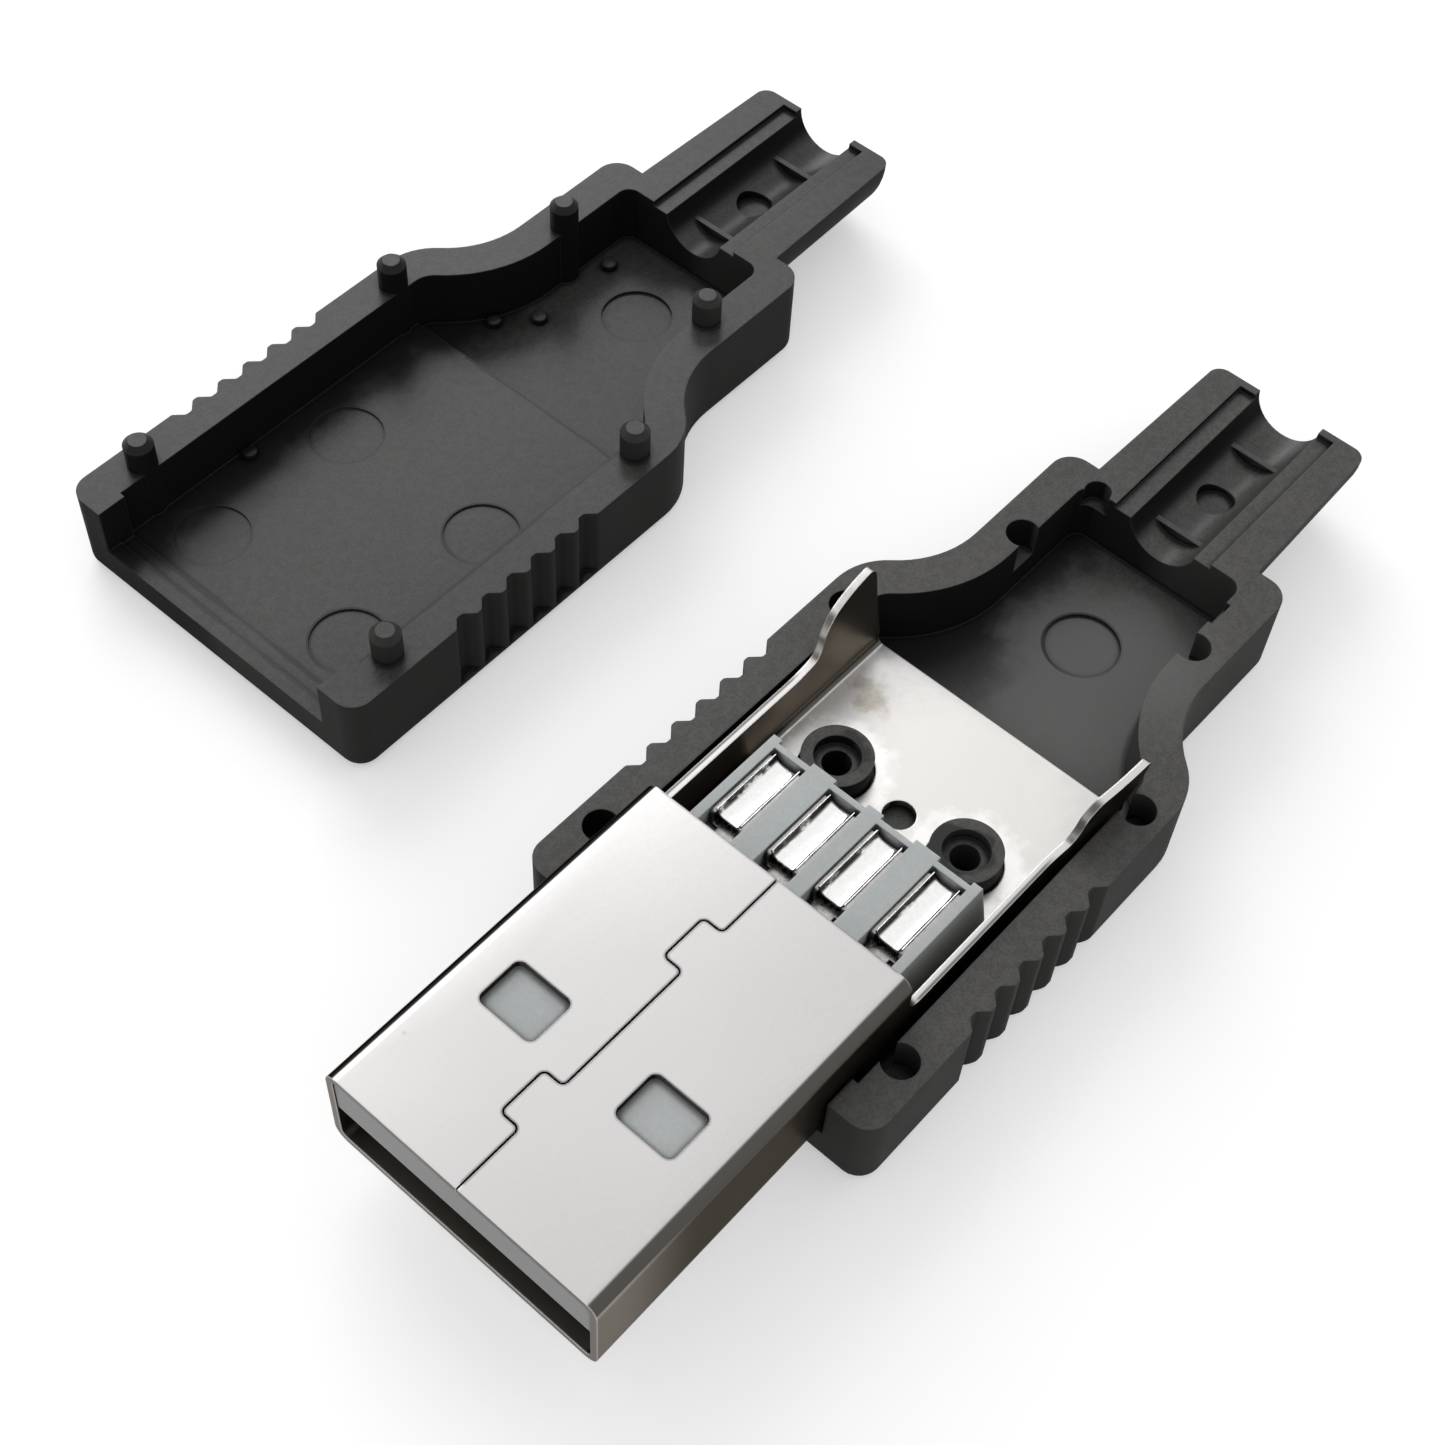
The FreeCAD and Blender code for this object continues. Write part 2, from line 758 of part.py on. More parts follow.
def make_metal_shield():
    """Build the folded metal plug: closed tube in front, open tray behind."""
    body = new_body("metal_shield")
    section = sketch_on(body, "tube_section", "YZ_Plane", shield_end_x)
    sheet_size = size("sheet")
    bend = size("sheet_bend")
    draw_rounded_box(section, -plug_half_width, plug_half_width, plug_floor_z, plug_top_z, bend)
    draw_rounded_box(
        section,
        -(plug_half_width - sheet_size),
        plug_half_width - sheet_size,
        tray_z,
        plug_top_z - sheet_size,
        bend - sheet_size,
    )
    add(body, section, mouth_x - shield_end_x)
    side = sketch_on(body, "tray_side", "XZ_Plane")
    notch = size("tray_notch_round")
    wall_z = plug_floor_z + size("tray_wall_height")
    wing_z = plug_top_z - size("sheet_bend") - size("wing_drop")
    swell = (wing_z - wall_z) / 2
    wing_x = shield_end_x + size("wing_length")
    corner = size("wing_corner")
    draw_outline(
        side,
        [
            (tube_end_x, plug_top_z + margin),
            (shield_end_x - margin, plug_top_z + margin),
            (shield_end_x - margin, wing_z - corner),
            (shield_end_x, wing_z - corner),
            (shield_end_x + corner, wing_z, -corner),
            (wing_x, wing_z),
            (wing_x + swell, wing_z - swell, -swell),
            (wing_x + swell + swell, wall_z, swell),
            (tube_end_x - notch, wall_z),
            (tube_end_x, wall_z + notch, notch),
        ],
    )
    cut(body, side, both_ways=True)
    windows = sketch_on(body, "windows", "XY_Plane", plug_top_z)
    window_x = mouth_x - size("window_back")
    near = size("window_from_middle")
    far = near + size("window_width")
    for low, high in ((near, far), (-far, -near)):
        draw_rounded_box(
            windows,
            window_x - size("window_length"),
            window_x,
            low,
            high,
            size("window_corner"),
        )
    cut(body, windows)
    holes = sketch_on(body, "tray_holes", "XY_Plane", tray_z)
    for sign in (1, -1):
        draw_circle(
            holes,
            post_x,
            sign * size("post_from_middle"),
            size("post_radius") + size("post_clearance"),
        )
    draw_circle(holes, post_x, 0, size("tray_hole_radius"))
    cut(body, holes, size("sheet"))
    seam = sketch_on(body, "seam", "XY_Plane", plug_top_z)
    tab_y = -size("seam_tab_depth")
    first_x = mouth_x - size("seam_tab_back")
    second_x = tube_end_x + size("seam_second_from_step")
    zero = Size.of(0)
    path = [
        (mouth_x + margin, zero),
        (first_x, zero),
        (first_x, tab_y),
        (first_x - size("seam_tab_length"), tab_y),
        (first_x - size("seam_tab_length"), zero),
        (second_x, zero),
        (second_x, tab_y),
        (second_x - size("seam_tab_length"), tab_y),
        (second_x - size("seam_tab_length"), zero),
        (tube_end_x - margin, zero),
    ]
    draw_outline(seam, seam_outline(path, size("seam_bend"), size("seam_gap")))
    cut(body, seam, size("sheet"))
    return body


def make_contact(label, start, blade_y, cup_y):
    """Build one contact: the blade under the tongue, its jog and the solder cup."""
    body = new_body(label)
    thickness = size("contact_thickness")
    tongue_z = plug_top_z - size("sheet") - size("tongue_thickness")
    blade_z = tongue_z + size("contact_embed") - thickness
    cup_z = plug_floor_z + size("cup_floor_height")
    jog_x = cup_front_x + size("jog_from_cup") + size("jog_length")
    low_x = cup_front_x + size("jog_from_cup")
    profile = sketch_on(body, "strip_side", "XZ_Plane")
    draw_outline(
        profile,
        [
            (mouth_x - start, blade_z),
            (mouth_x - start, blade_z + thickness),
            (jog_x, blade_z + thickness),
            (low_x, cup_z + thickness),
            (cup_front_x - thickness, cup_z + thickness),
            (cup_front_x - thickness, cup_z),
            (low_x, cup_z),
            (jog_x, blade_z),
        ],
    )
    add(body, profile, size("contact_width"), both_ways=True)
    cup = sketch_on(body, "cup_section", "YZ_Plane", cup_rear_x)
    shift = cup_y - blade_y
    half = size("cup_width") / 2
    wall_z = cup_z + size("cup_wall_height")
    draw_outline(
        cup,
        [
            (shift - half, wall_z),
            (shift - half, cup_z),
            (shift + half, cup_z),
            (shift + half, wall_z),
            (shift + half - thickness, wall_z),
            (shift + half - thickness, cup_z + thickness),
            (shift - half + thickness, cup_z + thickness),
            (shift - half + thickness, wall_z),
        ],
    )
    add(body, cup, cup_front_x - cup_rear_x)
    ends = sketch_on(body, "cup_wall_ends", "XZ_Plane")
    corner = size("cup_corner")
    for end_x, inward in ((cup_front_x, -1), (cup_rear_x, 1)):
        draw_outline(
            ends,
            [
                (end_x - inward * margin, wall_z + margin),
                (end_x + inward * corner, wall_z + margin),
                (end_x + inward * corner, wall_z),
                (end_x, wall_z - corner, inward * corner),
                (end_x - inward * margin, wall_z - corner),
            ],
        )
    cut(body, ends, both_ways=True)
    bind(body, ".Placement.Base.y", blade_y)
    doc.recompute()
    return body


def make_contact_carrier(contacts):
    """Build the insulator: tongue, block in the tube and solder block, cut for the contacts."""
    blank = doc.addObject("PartDesign::Body", "carrier_blank")
    inner_half = plug_half_width - size("sheet") - size("carrier_side_gap")
    ceiling_z = plug_top_z - size("sheet")
    tongue_z = ceiling_z - size("tongue_thickness")
    block_front_x = tube_end_x + size("block_in_tube")
    side = sketch_on(blank, "carrier_side", "XZ_Plane")
    nose = size("tongue_nose")
    nose_x = mouth_x - size("tongue_start")
    draw_outline(
        side,
        [
            (nose_x, ceiling_z),
            (nose_x, tongue_z + nose),
            (nose_x - nose, tongue_z),
            (block_front_x, tongue_z),
            (block_front_x, tray_z),
            (block_end_x, tray_z),
            (block_end_x, ceiling_z),
        ],
    )
    full_width = inner_half * 2
    body_pad = add(blank, side, full_width, both_ways=True)
    inner_bend = size("sheet_bend") - size("sheet") + size("carrier_side_gap")
    round_edges(
        blank,
        body_pad,
        inner_bend,
        lambda edge: is_long_outer_edge(edge, inner_half.value, block_front_x.value),
    )
    rear = sketch_on(blank, "solder_block", "YZ_Plane", block_rear_x)
    foot_half = size("block_foot_half_width")
    top_half = size("block_half_width")
    top_z = tray_z + size("block_height")
    draw_outline(
        rear,
        [
            (-foot_half, tray_z),
            (foot_half, tray_z),
            (top_half, top_z),
            (-top_half, top_z),
        ],
    )
    rear_pad = add(blank, rear, block_end_x - block_rear_x)
    trough = sketch_on(blank, "troughs", "XY_Plane", top_z)
    trough_front_x = block_end_x - size("trough_wall")
    recess = sketch_on(blank, "rear_recesses", "XY_Plane", top_z)
    recess_x = block_rear_x + size("trough_rear_recess")
    half = size("cup_width") / 2
    for middle in cup_middles():
        draw_box(trough, trough_rear_x, trough_front_x, middle - half, middle + half)
        draw_box(recess, block_rear_x - margin, recess_x, middle - half, middle + half)
    cut(blank, trough, top_z - plug_floor_z - size("cup_floor_height"))
    cut(blank, recess, size("block_height"))
    blades = doc.addObject("Part::Compound", "contact_set")
    blades.Links = contacts
    carrier = doc.addObject("Part::Cut", "contact_carrier")
    carrier.Label = "contact_carrier"
    carrier.Base = blank
    carrier.Tool = blades
    doc.recompute()
    return carrier


def is_long_outer_edge(edge, half, front):
    """Tell whether an edge runs along the plug, at a side of the block inside the tube."""
    box = edge.BoundBox
    at_side = abs(abs(box.YMin) - half) < 1e-6 and box.YLength < 1e-6
    return at_side and box.ZLength < 1e-6 and box.XMin < front - 1e-6


def cup_middles():
    """Return the four solder cups' places across the plug."""
    outer = size("outer_cup_from_middle")
    inner = size("inner_cup_from_middle")
    return (-outer, -inner, inner, outer)


base_shell = make_base_shell()
cover_shell = make_cover_shell()
metal_shield = make_metal_shield()
outer_y = size("outer_contact_from_middle")
inner_y = size("inner_contact_from_middle")
outer_start = size("outer_contact_start")
inner_start = size("inner_contact_start")
outer_cup_y = size("outer_cup_from_middle")
inner_cup_y = size("inner_cup_from_middle")
contacts = [
    make_contact("contact_power", outer_start, -outer_y, -outer_cup_y),
    make_contact("contact_data_minus", inner_start, -inner_y, -inner_cup_y),
    make_contact("contact_data_plus", inner_start, inner_y, inner_cup_y),
    make_contact("contact_ground", outer_start, outer_y, outer_cup_y),
]
contact_carrier = make_contact_carrier(contacts)

doc.recompute()
for item in doc.Objects:
    if "Invalid" in item.State or "Error" in item.State:
        raise RuntimeError("%s did not build" % item.Label)

os.makedirs("parts", exist_ok=True)
for piece in [base_shell, cover_shell, metal_shield, contact_carrier] + contacts:
    shape = piece.Shape
    if shape.isNull() or not shape.isValid() or len(shape.Solids) != 1:
        raise RuntimeError("%s is not one sound solid" % piece.Label)
    shape.exportStep("parts/%s.step" % piece.Label)
    print(piece.Label, round(shape.Volume, 3), shape.BoundBox)
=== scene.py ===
"""An opened solder-type plug: a base half with its metal plug, and a cover half laid beside it.

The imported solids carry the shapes. This file gives them moulded plastic, plated steel and
tinned metal finishes, adds the thin folded and moulded details, and sets the floor, the
soft light and the camera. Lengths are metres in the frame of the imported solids, but for the
marks, spans and small pieces, whose docstrings say millimetres.
"""

import logging
import math
from dataclasses import dataclass, field
from enum import Enum
from typing import List, Optional, Sequence, Tuple, Union

import bmesh
import bpy
import numpy as np
from mathutils import Matrix, Vector


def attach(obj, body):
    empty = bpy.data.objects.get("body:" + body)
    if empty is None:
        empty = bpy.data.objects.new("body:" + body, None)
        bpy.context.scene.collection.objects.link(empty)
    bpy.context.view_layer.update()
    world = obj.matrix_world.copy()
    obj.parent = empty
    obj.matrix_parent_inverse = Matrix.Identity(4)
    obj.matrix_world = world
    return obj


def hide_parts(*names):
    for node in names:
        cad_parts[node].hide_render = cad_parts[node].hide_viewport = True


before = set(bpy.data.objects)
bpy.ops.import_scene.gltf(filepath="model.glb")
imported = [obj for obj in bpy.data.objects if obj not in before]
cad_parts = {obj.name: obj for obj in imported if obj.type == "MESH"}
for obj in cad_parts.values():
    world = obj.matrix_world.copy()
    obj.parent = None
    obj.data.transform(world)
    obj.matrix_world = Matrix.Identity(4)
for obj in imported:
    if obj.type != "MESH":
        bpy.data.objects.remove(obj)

log = logging.getLogger("plug_scene")

MM = 0.001
BODY = "root"
WELD = 1e-7

Colour = Tuple[float, float, float]
Point = Tuple[float, float, float]
Material = bpy.types.Material
Node = bpy.types.Node
Object = bpy.types.Object
Socket = bpy.types.NodeSocket
Tree = bpy.types.NodeTree
Value = Union[Socket, float]
Tint = Union[Socket, Colour]


class Slot(Enum):
    """The names of the record's material slots."""

    PLASTIC = "black_plastic"
    STEEL = "plated_steel"
    TIN = "tinned_contact"


def grey(level: float, warmth: float = 0.0) -> Colour:
    """Return a grey, a little warmer or cooler.

    Args:
        level: linear brightness.
        warmth: share by which red rises and blue falls.

    Returns:
        A linear colour.
    """
    return (level * (1.0 + warmth), level, level * (1.0 - warmth))


def in_metres(place: Point) -> Point:
    """Return a place given in millimetres in metres."""
    return tuple(value * MM for value in place)


# --- shader graphs


@dataclass(frozen=True)
class Span:
    """A stretch of one axis over which a mask rises from 0 at low to 1 at high.

    For places it is in millimetres. For the way that faces turn it is the share of their
    normal along the axis. High may lie below low.
    """

    axis: str
    low: float
    high: float


class Graph:
    """A short way to place and join shader nodes in a tree."""

    MIX_INPUTS = (0, 6, 7)
    MIX_RESULT = 2

    def __init__(self, tree: Tree, where: Optional[Socket] = None) -> None:
        """Keep the tree that nodes are added to, and the coordinates that patterns lie on."""
        self.tree = tree
        self.where = where

    def feed(self, target: Socket, value: object) -> None:
        """Join a socket to an input, or set the input to a number, place or colour."""
        if isinstance(value, Socket):
            self.tree.links.new(value, target)
        elif isinstance(value, tuple) and target.type == "RGBA":
            target.default_value = value + (1.0,)
        else:
            target.default_value = value

    def add(self, kind: str, **values: object) -> Node:
        """Add a node and set its properties and inputs.

        Args:
            kind: the node's type, such as ShaderNodeMath.
            values: properties by name, and inputs by name with underscores for spaces.

        Returns:
            The new node.
        """
        node = self.tree.nodes.new(kind)
        for name, value in values.items():
            if hasattr(node, name) and name not in node.inputs:
                setattr(node, name, value)
            else:
                self.wire(node, **{name: value})
        return node

    def wire(self, node: Node, **values: object) -> None:
        """Feed a node's inputs by name, with underscores for spaces."""
        for name, value in values.items():
            self.feed(node.inputs[name.replace("_", " ")], value)

    def place(self, group: Tree, **values: object) -> Node:
        """Place a node group and feed its inputs by name."""
        node = self.add("ShaderNodeGroup", node_tree=group)
        self.wire(node, **values)
        return node

    def math(
        self, operation: str, first: Value, second: Value = 0.0, clamp: bool = False
    ) -> Socket:
        """Work out one arithmetic step.

        Args:
            operation: the Math node's operation.
            first: a socket or a number.
            second: a socket or a number.
            clamp: whether the result is kept between 0 and 1.

        Returns:
            The result's socket.
        """
        node = self.add("ShaderNodeMath", operation=operation, use_clamp=clamp)
        self.feed(node.inputs[0], first)
        self.feed(node.inputs[1], second)
        return node.outputs[0]

    def times(self, first: Value, *others: Value) -> Socket:
        """Multiply values, one after another."""
        for other in others:
            first = self.math("MULTIPLY", first, other)
        return first

    def vector(self, operation: str, first: object, second: object) -> Socket:
        """Work out one step of vector arithmetic.

        Args:
            operation: the Vector Math node's operation.
            first: a socket or a vector.
            second: a socket or a vector, or the factor of SCALE.

        Returns:
            The socket of the number or vector that it gives.
        """
        node = self.add("ShaderNodeVectorMath", operation=operation)
        self.feed(node.inputs[0], first)
        self.feed(node.inputs["Scale" if operation == "SCALE" else 1], second)
        return node.outputs["Value" if operation in ("DISTANCE", "DOT_PRODUCT") else "Vector"]

    def ramp(
        self, value: Socket, low: float, high: float, out_low: float = 0.0, out_high: float = 1.0
    ) -> Socket:
        """Map a value smoothly from one range to another.

        Args:
            value: the socket to map.
            low: where the first range starts.
            high: where the first range ends.
            out_low: result at low.
            out_high: result at high.

        Returns:
            The mapped value's socket.
        """
        node = self.add("ShaderNodeMapRange", interpolation_type="SMOOTHSTEP", Value=value)
        self.wire(node, From_Min=low, From_Max=high, To_Min=out_low, To_Max=out_high)
        return node.outputs["Result"]

    def mix(self, share: Value, first: Tint, second: Tint, blend: str = "MIX") -> Socket:
        """Mix two colours.

        Args:
            share: a socket or a number, 0 for the first colour and 1 for the second.
            first: a socket or a colour.
            second: a socket or a colour.
            blend: the blend type.

        Returns:
            The mixed colour's socket.
        """
        node = self.add("ShaderNodeMix", data_type="RGBA", blend_type=blend)
        for place, value in zip(self.MIX_INPUTS, (share, first, second)):
            self.feed(node.inputs[place], value)
        return node.outputs[self.MIX_RESULT]

    def split(self, vector: Socket) -> Node:
        """Return a node that gives a vector's X, Y and Z."""
        return self.add("ShaderNodeSeparateXYZ", Vector=vector)

    def normal(self) -> Node:
        """Return a node that gives the X, Y and Z of the surface's normal."""
        return self.split(self.add("ShaderNodeNewGeometry").outputs["Normal"])

    def upright(self, low: float = 0.45, high: float = 0.85) -> Socket:
        """Return 1 on faces that stand upright and 0 on level ones.

        Args:
            low: share of the normal that lies level, where the mask starts.
            high: share where it is full.

        Returns:
            The mask's socket.
        """
        rise = self.math("ABSOLUTE", self.normal().outputs["Z"])
        rest = self.math("SUBTRACT", 1.0, self.times(rise, rise), clamp=True)
        return self.ramp(self.math("SQRT", rest), low, high)

    def facing(self, span: Span) -> Socket:
        """Return 1 on faces that turn along the span's axis as far as its high end."""
        return self.ramp(self.normal().outputs[span.axis], span.low, span.high)

    def band(self, span: Span, past: Span) -> Socket:
        """Return 1 on faces that turn into one span but not yet into the next."""
        return self.math("SUBTRACT", self.facing(span), self.facing(past))

    def zone(
        self, span: Span, both_sides: bool = False, where: Optional[Socket] = None
    ) -> Socket:
        """Return a mask over the places of the object.

        Args:
            span: places in millimetres.
            both_sides: whether the place's distance from the axis's zero counts.
            where: coordinates, if not the graph's own.

        Returns:
            The mask's socket.
        """
        place = self.split(where or self.where).outputs[span.axis]
        if both_sides:
            place = self.math("ABSOLUTE", place)
        return self.ramp(place, span.low * MM, span.high * MM)

    def ragged_by(self, ragged: Socket, size: float) -> Socket:
        """Return an uneven shift up to half of size, in millimetres, to either side."""
        return self.times(self.math("SUBTRACT", ragged, 0.5), size * MM)

    def noise(
        self, per_metre: Value, detail: float, roughness: float, stretch: Optional[Point] = None
    ) -> Socket:
        """Return a cloudy noise value.

        Args:
            per_metre: cells in each metre.
            detail: octaves.
            roughness: how strong the finer octaves are.
            stretch: scale of each axis, for scratches and brushed lines.

        Returns:
            The noise value's socket.
        """
        where = self.where
        if stretch is not None:
            where = self.add("ShaderNodeMapping", Vector=where, Scale=stretch).outputs["Vector"]
        node = self.add("ShaderNodeTexNoise", Vector=where, Scale=per_metre)
        self.wire(node, Detail=detail, Roughness=roughness)
        return node.outputs["Fac"]


def make_group(
    name: str, inputs: Sequence[Tuple[str, str, object]], outputs: Sequence[Tuple[str, str]]
) -> Tuple[Tree, Graph, Node, Node]:
    """Start a shader node group with named sockets.

    Args:
        name: the group's name.
        inputs: name, socket type and default of each input.
        outputs: name and socket type of each output.

    Returns:
        The tree, its graph, and its input and output nodes.
    """
    tree = bpy.data.node_groups.new(name, "ShaderNodeTree")
    for label, kind, default in inputs:
        socket = tree.interface.new_socket(name=label, in_out="INPUT", socket_type=kind)
        socket.default_value = default
    for label, kind in outputs:
        tree.interface.new_socket(name=label, in_out="OUTPUT", socket_type=kind)
    start, end = tree.nodes.new("NodeGroupInput"), tree.nodes.new("NodeGroupOutput")
    return tree, Graph(tree, start.outputs.get("Vector")), start, end


FLOAT = "NodeSocketFloat"
VECTOR = "NodeSocketVector"


def build_edge_group() -> Tree:
    """Build the group that rounds hard edges in the light and marks where they are.

    The edge mask is one minus the dot product of the true normal and the rounded normal, so
    it is zero on flats and rises along every corner.

    Returns:
        The group.
    """
    tree, graph, start, end = make_group(
        "edge_round", [("Radius", FLOAT, 0.0001)], [("Normal", VECTOR), ("Edge", FLOAT)]
    )
    bevel = graph.add("ShaderNodeBevel", samples=4, Radius=start.outputs["Radius"])
    rounded, true = bevel.outputs["Normal"], graph.add("ShaderNodeNewGeometry").outputs["Normal"]
    turned = graph.math("SUBTRACT", 1.0, graph.vector("DOT_PRODUCT", rounded, true))
    graph.wire(end, Normal=rounded, Edge=graph.ramp(turned, 0.0, 0.2))
    return tree


def build_crease_group() -> Tree:
    """Build the group that marks creases, where two faces meet inwards, for painted shade.

    The mask rises with the share of the sky that is closed within Reach of the surface.

    Returns:
        The group.
    """
    tree, graph, start, end = make_group("crease", [("Reach", FLOAT, 0.0003)], [("Crease", FLOAT)])
    sky = graph.add("ShaderNodeAmbientOcclusion", samples=6, Distance=start.outputs["Reach"])
    closed = graph.math("SUBTRACT", 1.0, sky.outputs["AO"])
    graph.wire(end, Crease=graph.ramp(closed, 0.03, 0.38))
    return tree


def build_grain_group() -> Tree:
    """Build the group for the fine grain and faint flow clouds of moulded plastic.

    Height sums a fine noise and a coarser one; clouds are a slow noise for colour.

    Returns:
        The group.
    """
    tree, graph, start, end = make_group(
        "moulded_grain",
        [("Vector", VECTOR, (0.0, 0.0, 0.0)), ("Fine", FLOAT, 9000.0), ("Clouds", FLOAT, 260.0)],
        [("Height", FLOAT), ("Cloud", FLOAT)],
    )
    heights = []
    for factor, share in ((1.0, 0.6), (0.3, 0.4)):
        noise = graph.noise(graph.times(start.outputs["Fine"], factor), 2.0, 0.6)
        heights.append(graph.times(noise, share))
    cloud = graph.noise(start.outputs["Clouds"], 4.0, 0.6)
    graph.wire(end, Height=graph.math("ADD", *heights), Cloud=graph.ramp(cloud, 0.3, 0.7))
    return tree


def build_haze_group() -> Tree:
    """Build the group for plated sheet: slow dents, cloudy haze, specks and hair scratches.

    Returns:
        The group.
    """
    tree, graph, _, end = make_group(
        "plate_haze",
        [("Vector", VECTOR, (0.0, 0.0, 0.0))],
        [("Dents", FLOAT), ("Haze", FLOAT), ("Specks", FLOAT), ("Scratches", FLOAT)],
    )
    dents = graph.noise(per_metre=170.0, detail=2.0, roughness=0.45)
    haze = graph.noise(per_metre=5200.0, detail=2.0, roughness=0.6)
    voronoi = graph.add("ShaderNodeTexVoronoi", Vector=graph.where, Scale=1000.0)
    speck = voronoi.outputs["Distance"]
    rare = graph.noise(per_metre=500.0, detail=0.0, roughness=0.55)
    specks = graph.times(graph.ramp(speck, 0.03, 0.09, 1.0, 0.0), graph.ramp(rare, 0.66, 0.69))
    lines = graph.noise(per_metre=900.0, detail=4.0, roughness=0.7, stretch=(0.25, 2.0, 2.0))
    graph.wire(end, Dents=dents, Haze=graph.ramp(haze, 0.25, 0.75), Specks=specks)
    graph.wire(end, Scratches=graph.ramp(lines, 0.5, 0.8))
    return tree


@dataclass
class Groups:
    """The shader groups that the finishes share, each built once."""

    edge: Tree = field(default_factory=build_edge_group)
    crease: Tree = field(default_factory=build_crease_group)
    grain: Tree = field(default_factory=build_grain_group)
    haze: Tree = field(default_factory=build_haze_group)


def start_material(name: str) -> Tuple[Material, Graph, Node]:
    """Start a material with a Principled shader.

    Args:
        name: the material's name.

    Returns:
        The material, its graph on object coordinates, and its shader node.
    """
    material = bpy.data.materials.new(name)
    material.use_nodes = True
    graph = Graph(material.node_tree)
    graph.where = graph.add("ShaderNodeTexCoord").outputs["Object"]
    return material, graph, material.node_tree.nodes["Principled BSDF"]


def finish_relief(
    graph: Graph, shader: Node, height: Socket, edge: Node, strength: float, depth: float
) -> None:
    """Add a fine relief over the rounded edges.

    Args:
        graph: the material's graph.
        shader: its shader node.
        height: the relief's height from 0 to 1.
        edge: the placed edge group.
        strength: share of the relief that shows.
        depth: its depth in metres.
    """
    bump = graph.add("ShaderNodeBump", Strength=strength, Distance=depth, Height=height)
    graph.wire(bump, Normal=edge.outputs["Normal"])
    graph.wire(shader, Normal=bump.outputs["Normal"])


# --- painted marks

# painted shade: the black of the dark lines, rims and creases
PAINTED_SHADE_BLACK: Colour = (0.005, 0.005, 0.005)
LINE_CORE = 0.4  # share of a painted line's half width that has its full strength


class Mark:
    """A patch or line painted into a finish's colour."""

    def spread(self, graph: Graph, ragged: Socket, colour: Socket) -> Socket:
        """Mix the mark into a colour.

        Args:
            graph: the material's graph.
            ragged: a value from 0 to 1 that makes the mark's rim uneven.
            colour: the colour below.

        Returns:
            The colour with the mark.
        """
        raise NotImplementedError


@dataclass(frozen=True)
class Halo(Mark):
    """A stain, or a pale or dark patch such as painted light, round a place on the surface; in
    millimetres.
    """

    middle: Point
    inner: float
    outer: float
    colour: Colour
    strength: float
    uneven: float = 0.8

    def spread(self, graph: Graph, ragged: Socket, colour: Socket) -> Socket:
        """Mix in the patch, which is full within inner and gone beyond outer."""
        away = graph.vector("DISTANCE", graph.where, in_metres(self.middle))
        reach = graph.math("ADD", away, graph.ragged_by(ragged, self.uneven))
        near = graph.ramp(reach, self.inner * MM, self.outer * MM, self.strength, 0.0)
        return graph.mix(near, colour, self.colour)


@dataclass(frozen=True)
class Rim(Mark):
    """The dark rim of a shallow round mark, painted shade that is palest on its +Y side; in
    millimetres.

    It is palest at pale_y and darkest at dark_y, both from its middle.
    """

    middle: Point
    radius: float
    strength: float
    half_width: float = 0.13
    pale_y: float = 1.5
    dark_y: float = -0.6
    pale_share: float = 0.25

    def spread(self, graph: Graph, ragged: Socket, colour: Socket) -> Socket:
        """Mix in the rim, which is even and has no use for ragged."""
        away = graph.vector("DISTANCE", graph.where, in_metres(self.middle))
        off = graph.math("ABSOLUTE", graph.math("SUBTRACT", away, self.radius * MM))
        wide = self.half_width * MM
        line = graph.ramp(off, LINE_CORE * wide, wide, self.strength, 0.0)
        y = self.middle[1]
        side = graph.zone(Span("Y", y + self.pale_y, y + self.dark_y))
        depth = graph.math("ADD", graph.times(side, 1.0 - self.pale_share), self.pale_share)
        return graph.mix(graph.times(line, depth), colour, PAINTED_SHADE_BLACK)


@dataclass(frozen=True)
class Seam(Mark):
    """A dark line of painted shade along a straight step or crease; in millimetres."""

    start: Point
    end: Point
    strength: float
    half_width: float = 0.2
    uneven: float = 0.12

    def spread(self, graph: Graph, ragged: Socket, colour: Socket) -> Socket:
        """Mix in the line.

        The nearest point of the line to p is a + t (b - a), with t = (p - a).(b - a) / |b - a|^2
        held between 0 and 1.
        """
        start, way = Vector(self.start) * MM, (Vector(self.end) - Vector(self.start)) * MM
        offset = graph.vector("SUBTRACT", graph.where, start)
        along = graph.vector("DOT_PRODUCT", offset, way / way.length_squared)
        held = graph.math("MULTIPLY", along, 1.0, clamp=True)
        away = graph.vector("DISTANCE", offset, graph.vector("SCALE", way, held))
        reach = graph.math("ADD", away, graph.ragged_by(ragged, self.uneven))
        wide = self.half_width * MM
        line = graph.ramp(reach, LINE_CORE * wide, wide, self.strength, 0.0)
        return graph.mix(line, colour, PAINTED_SHADE_BLACK)


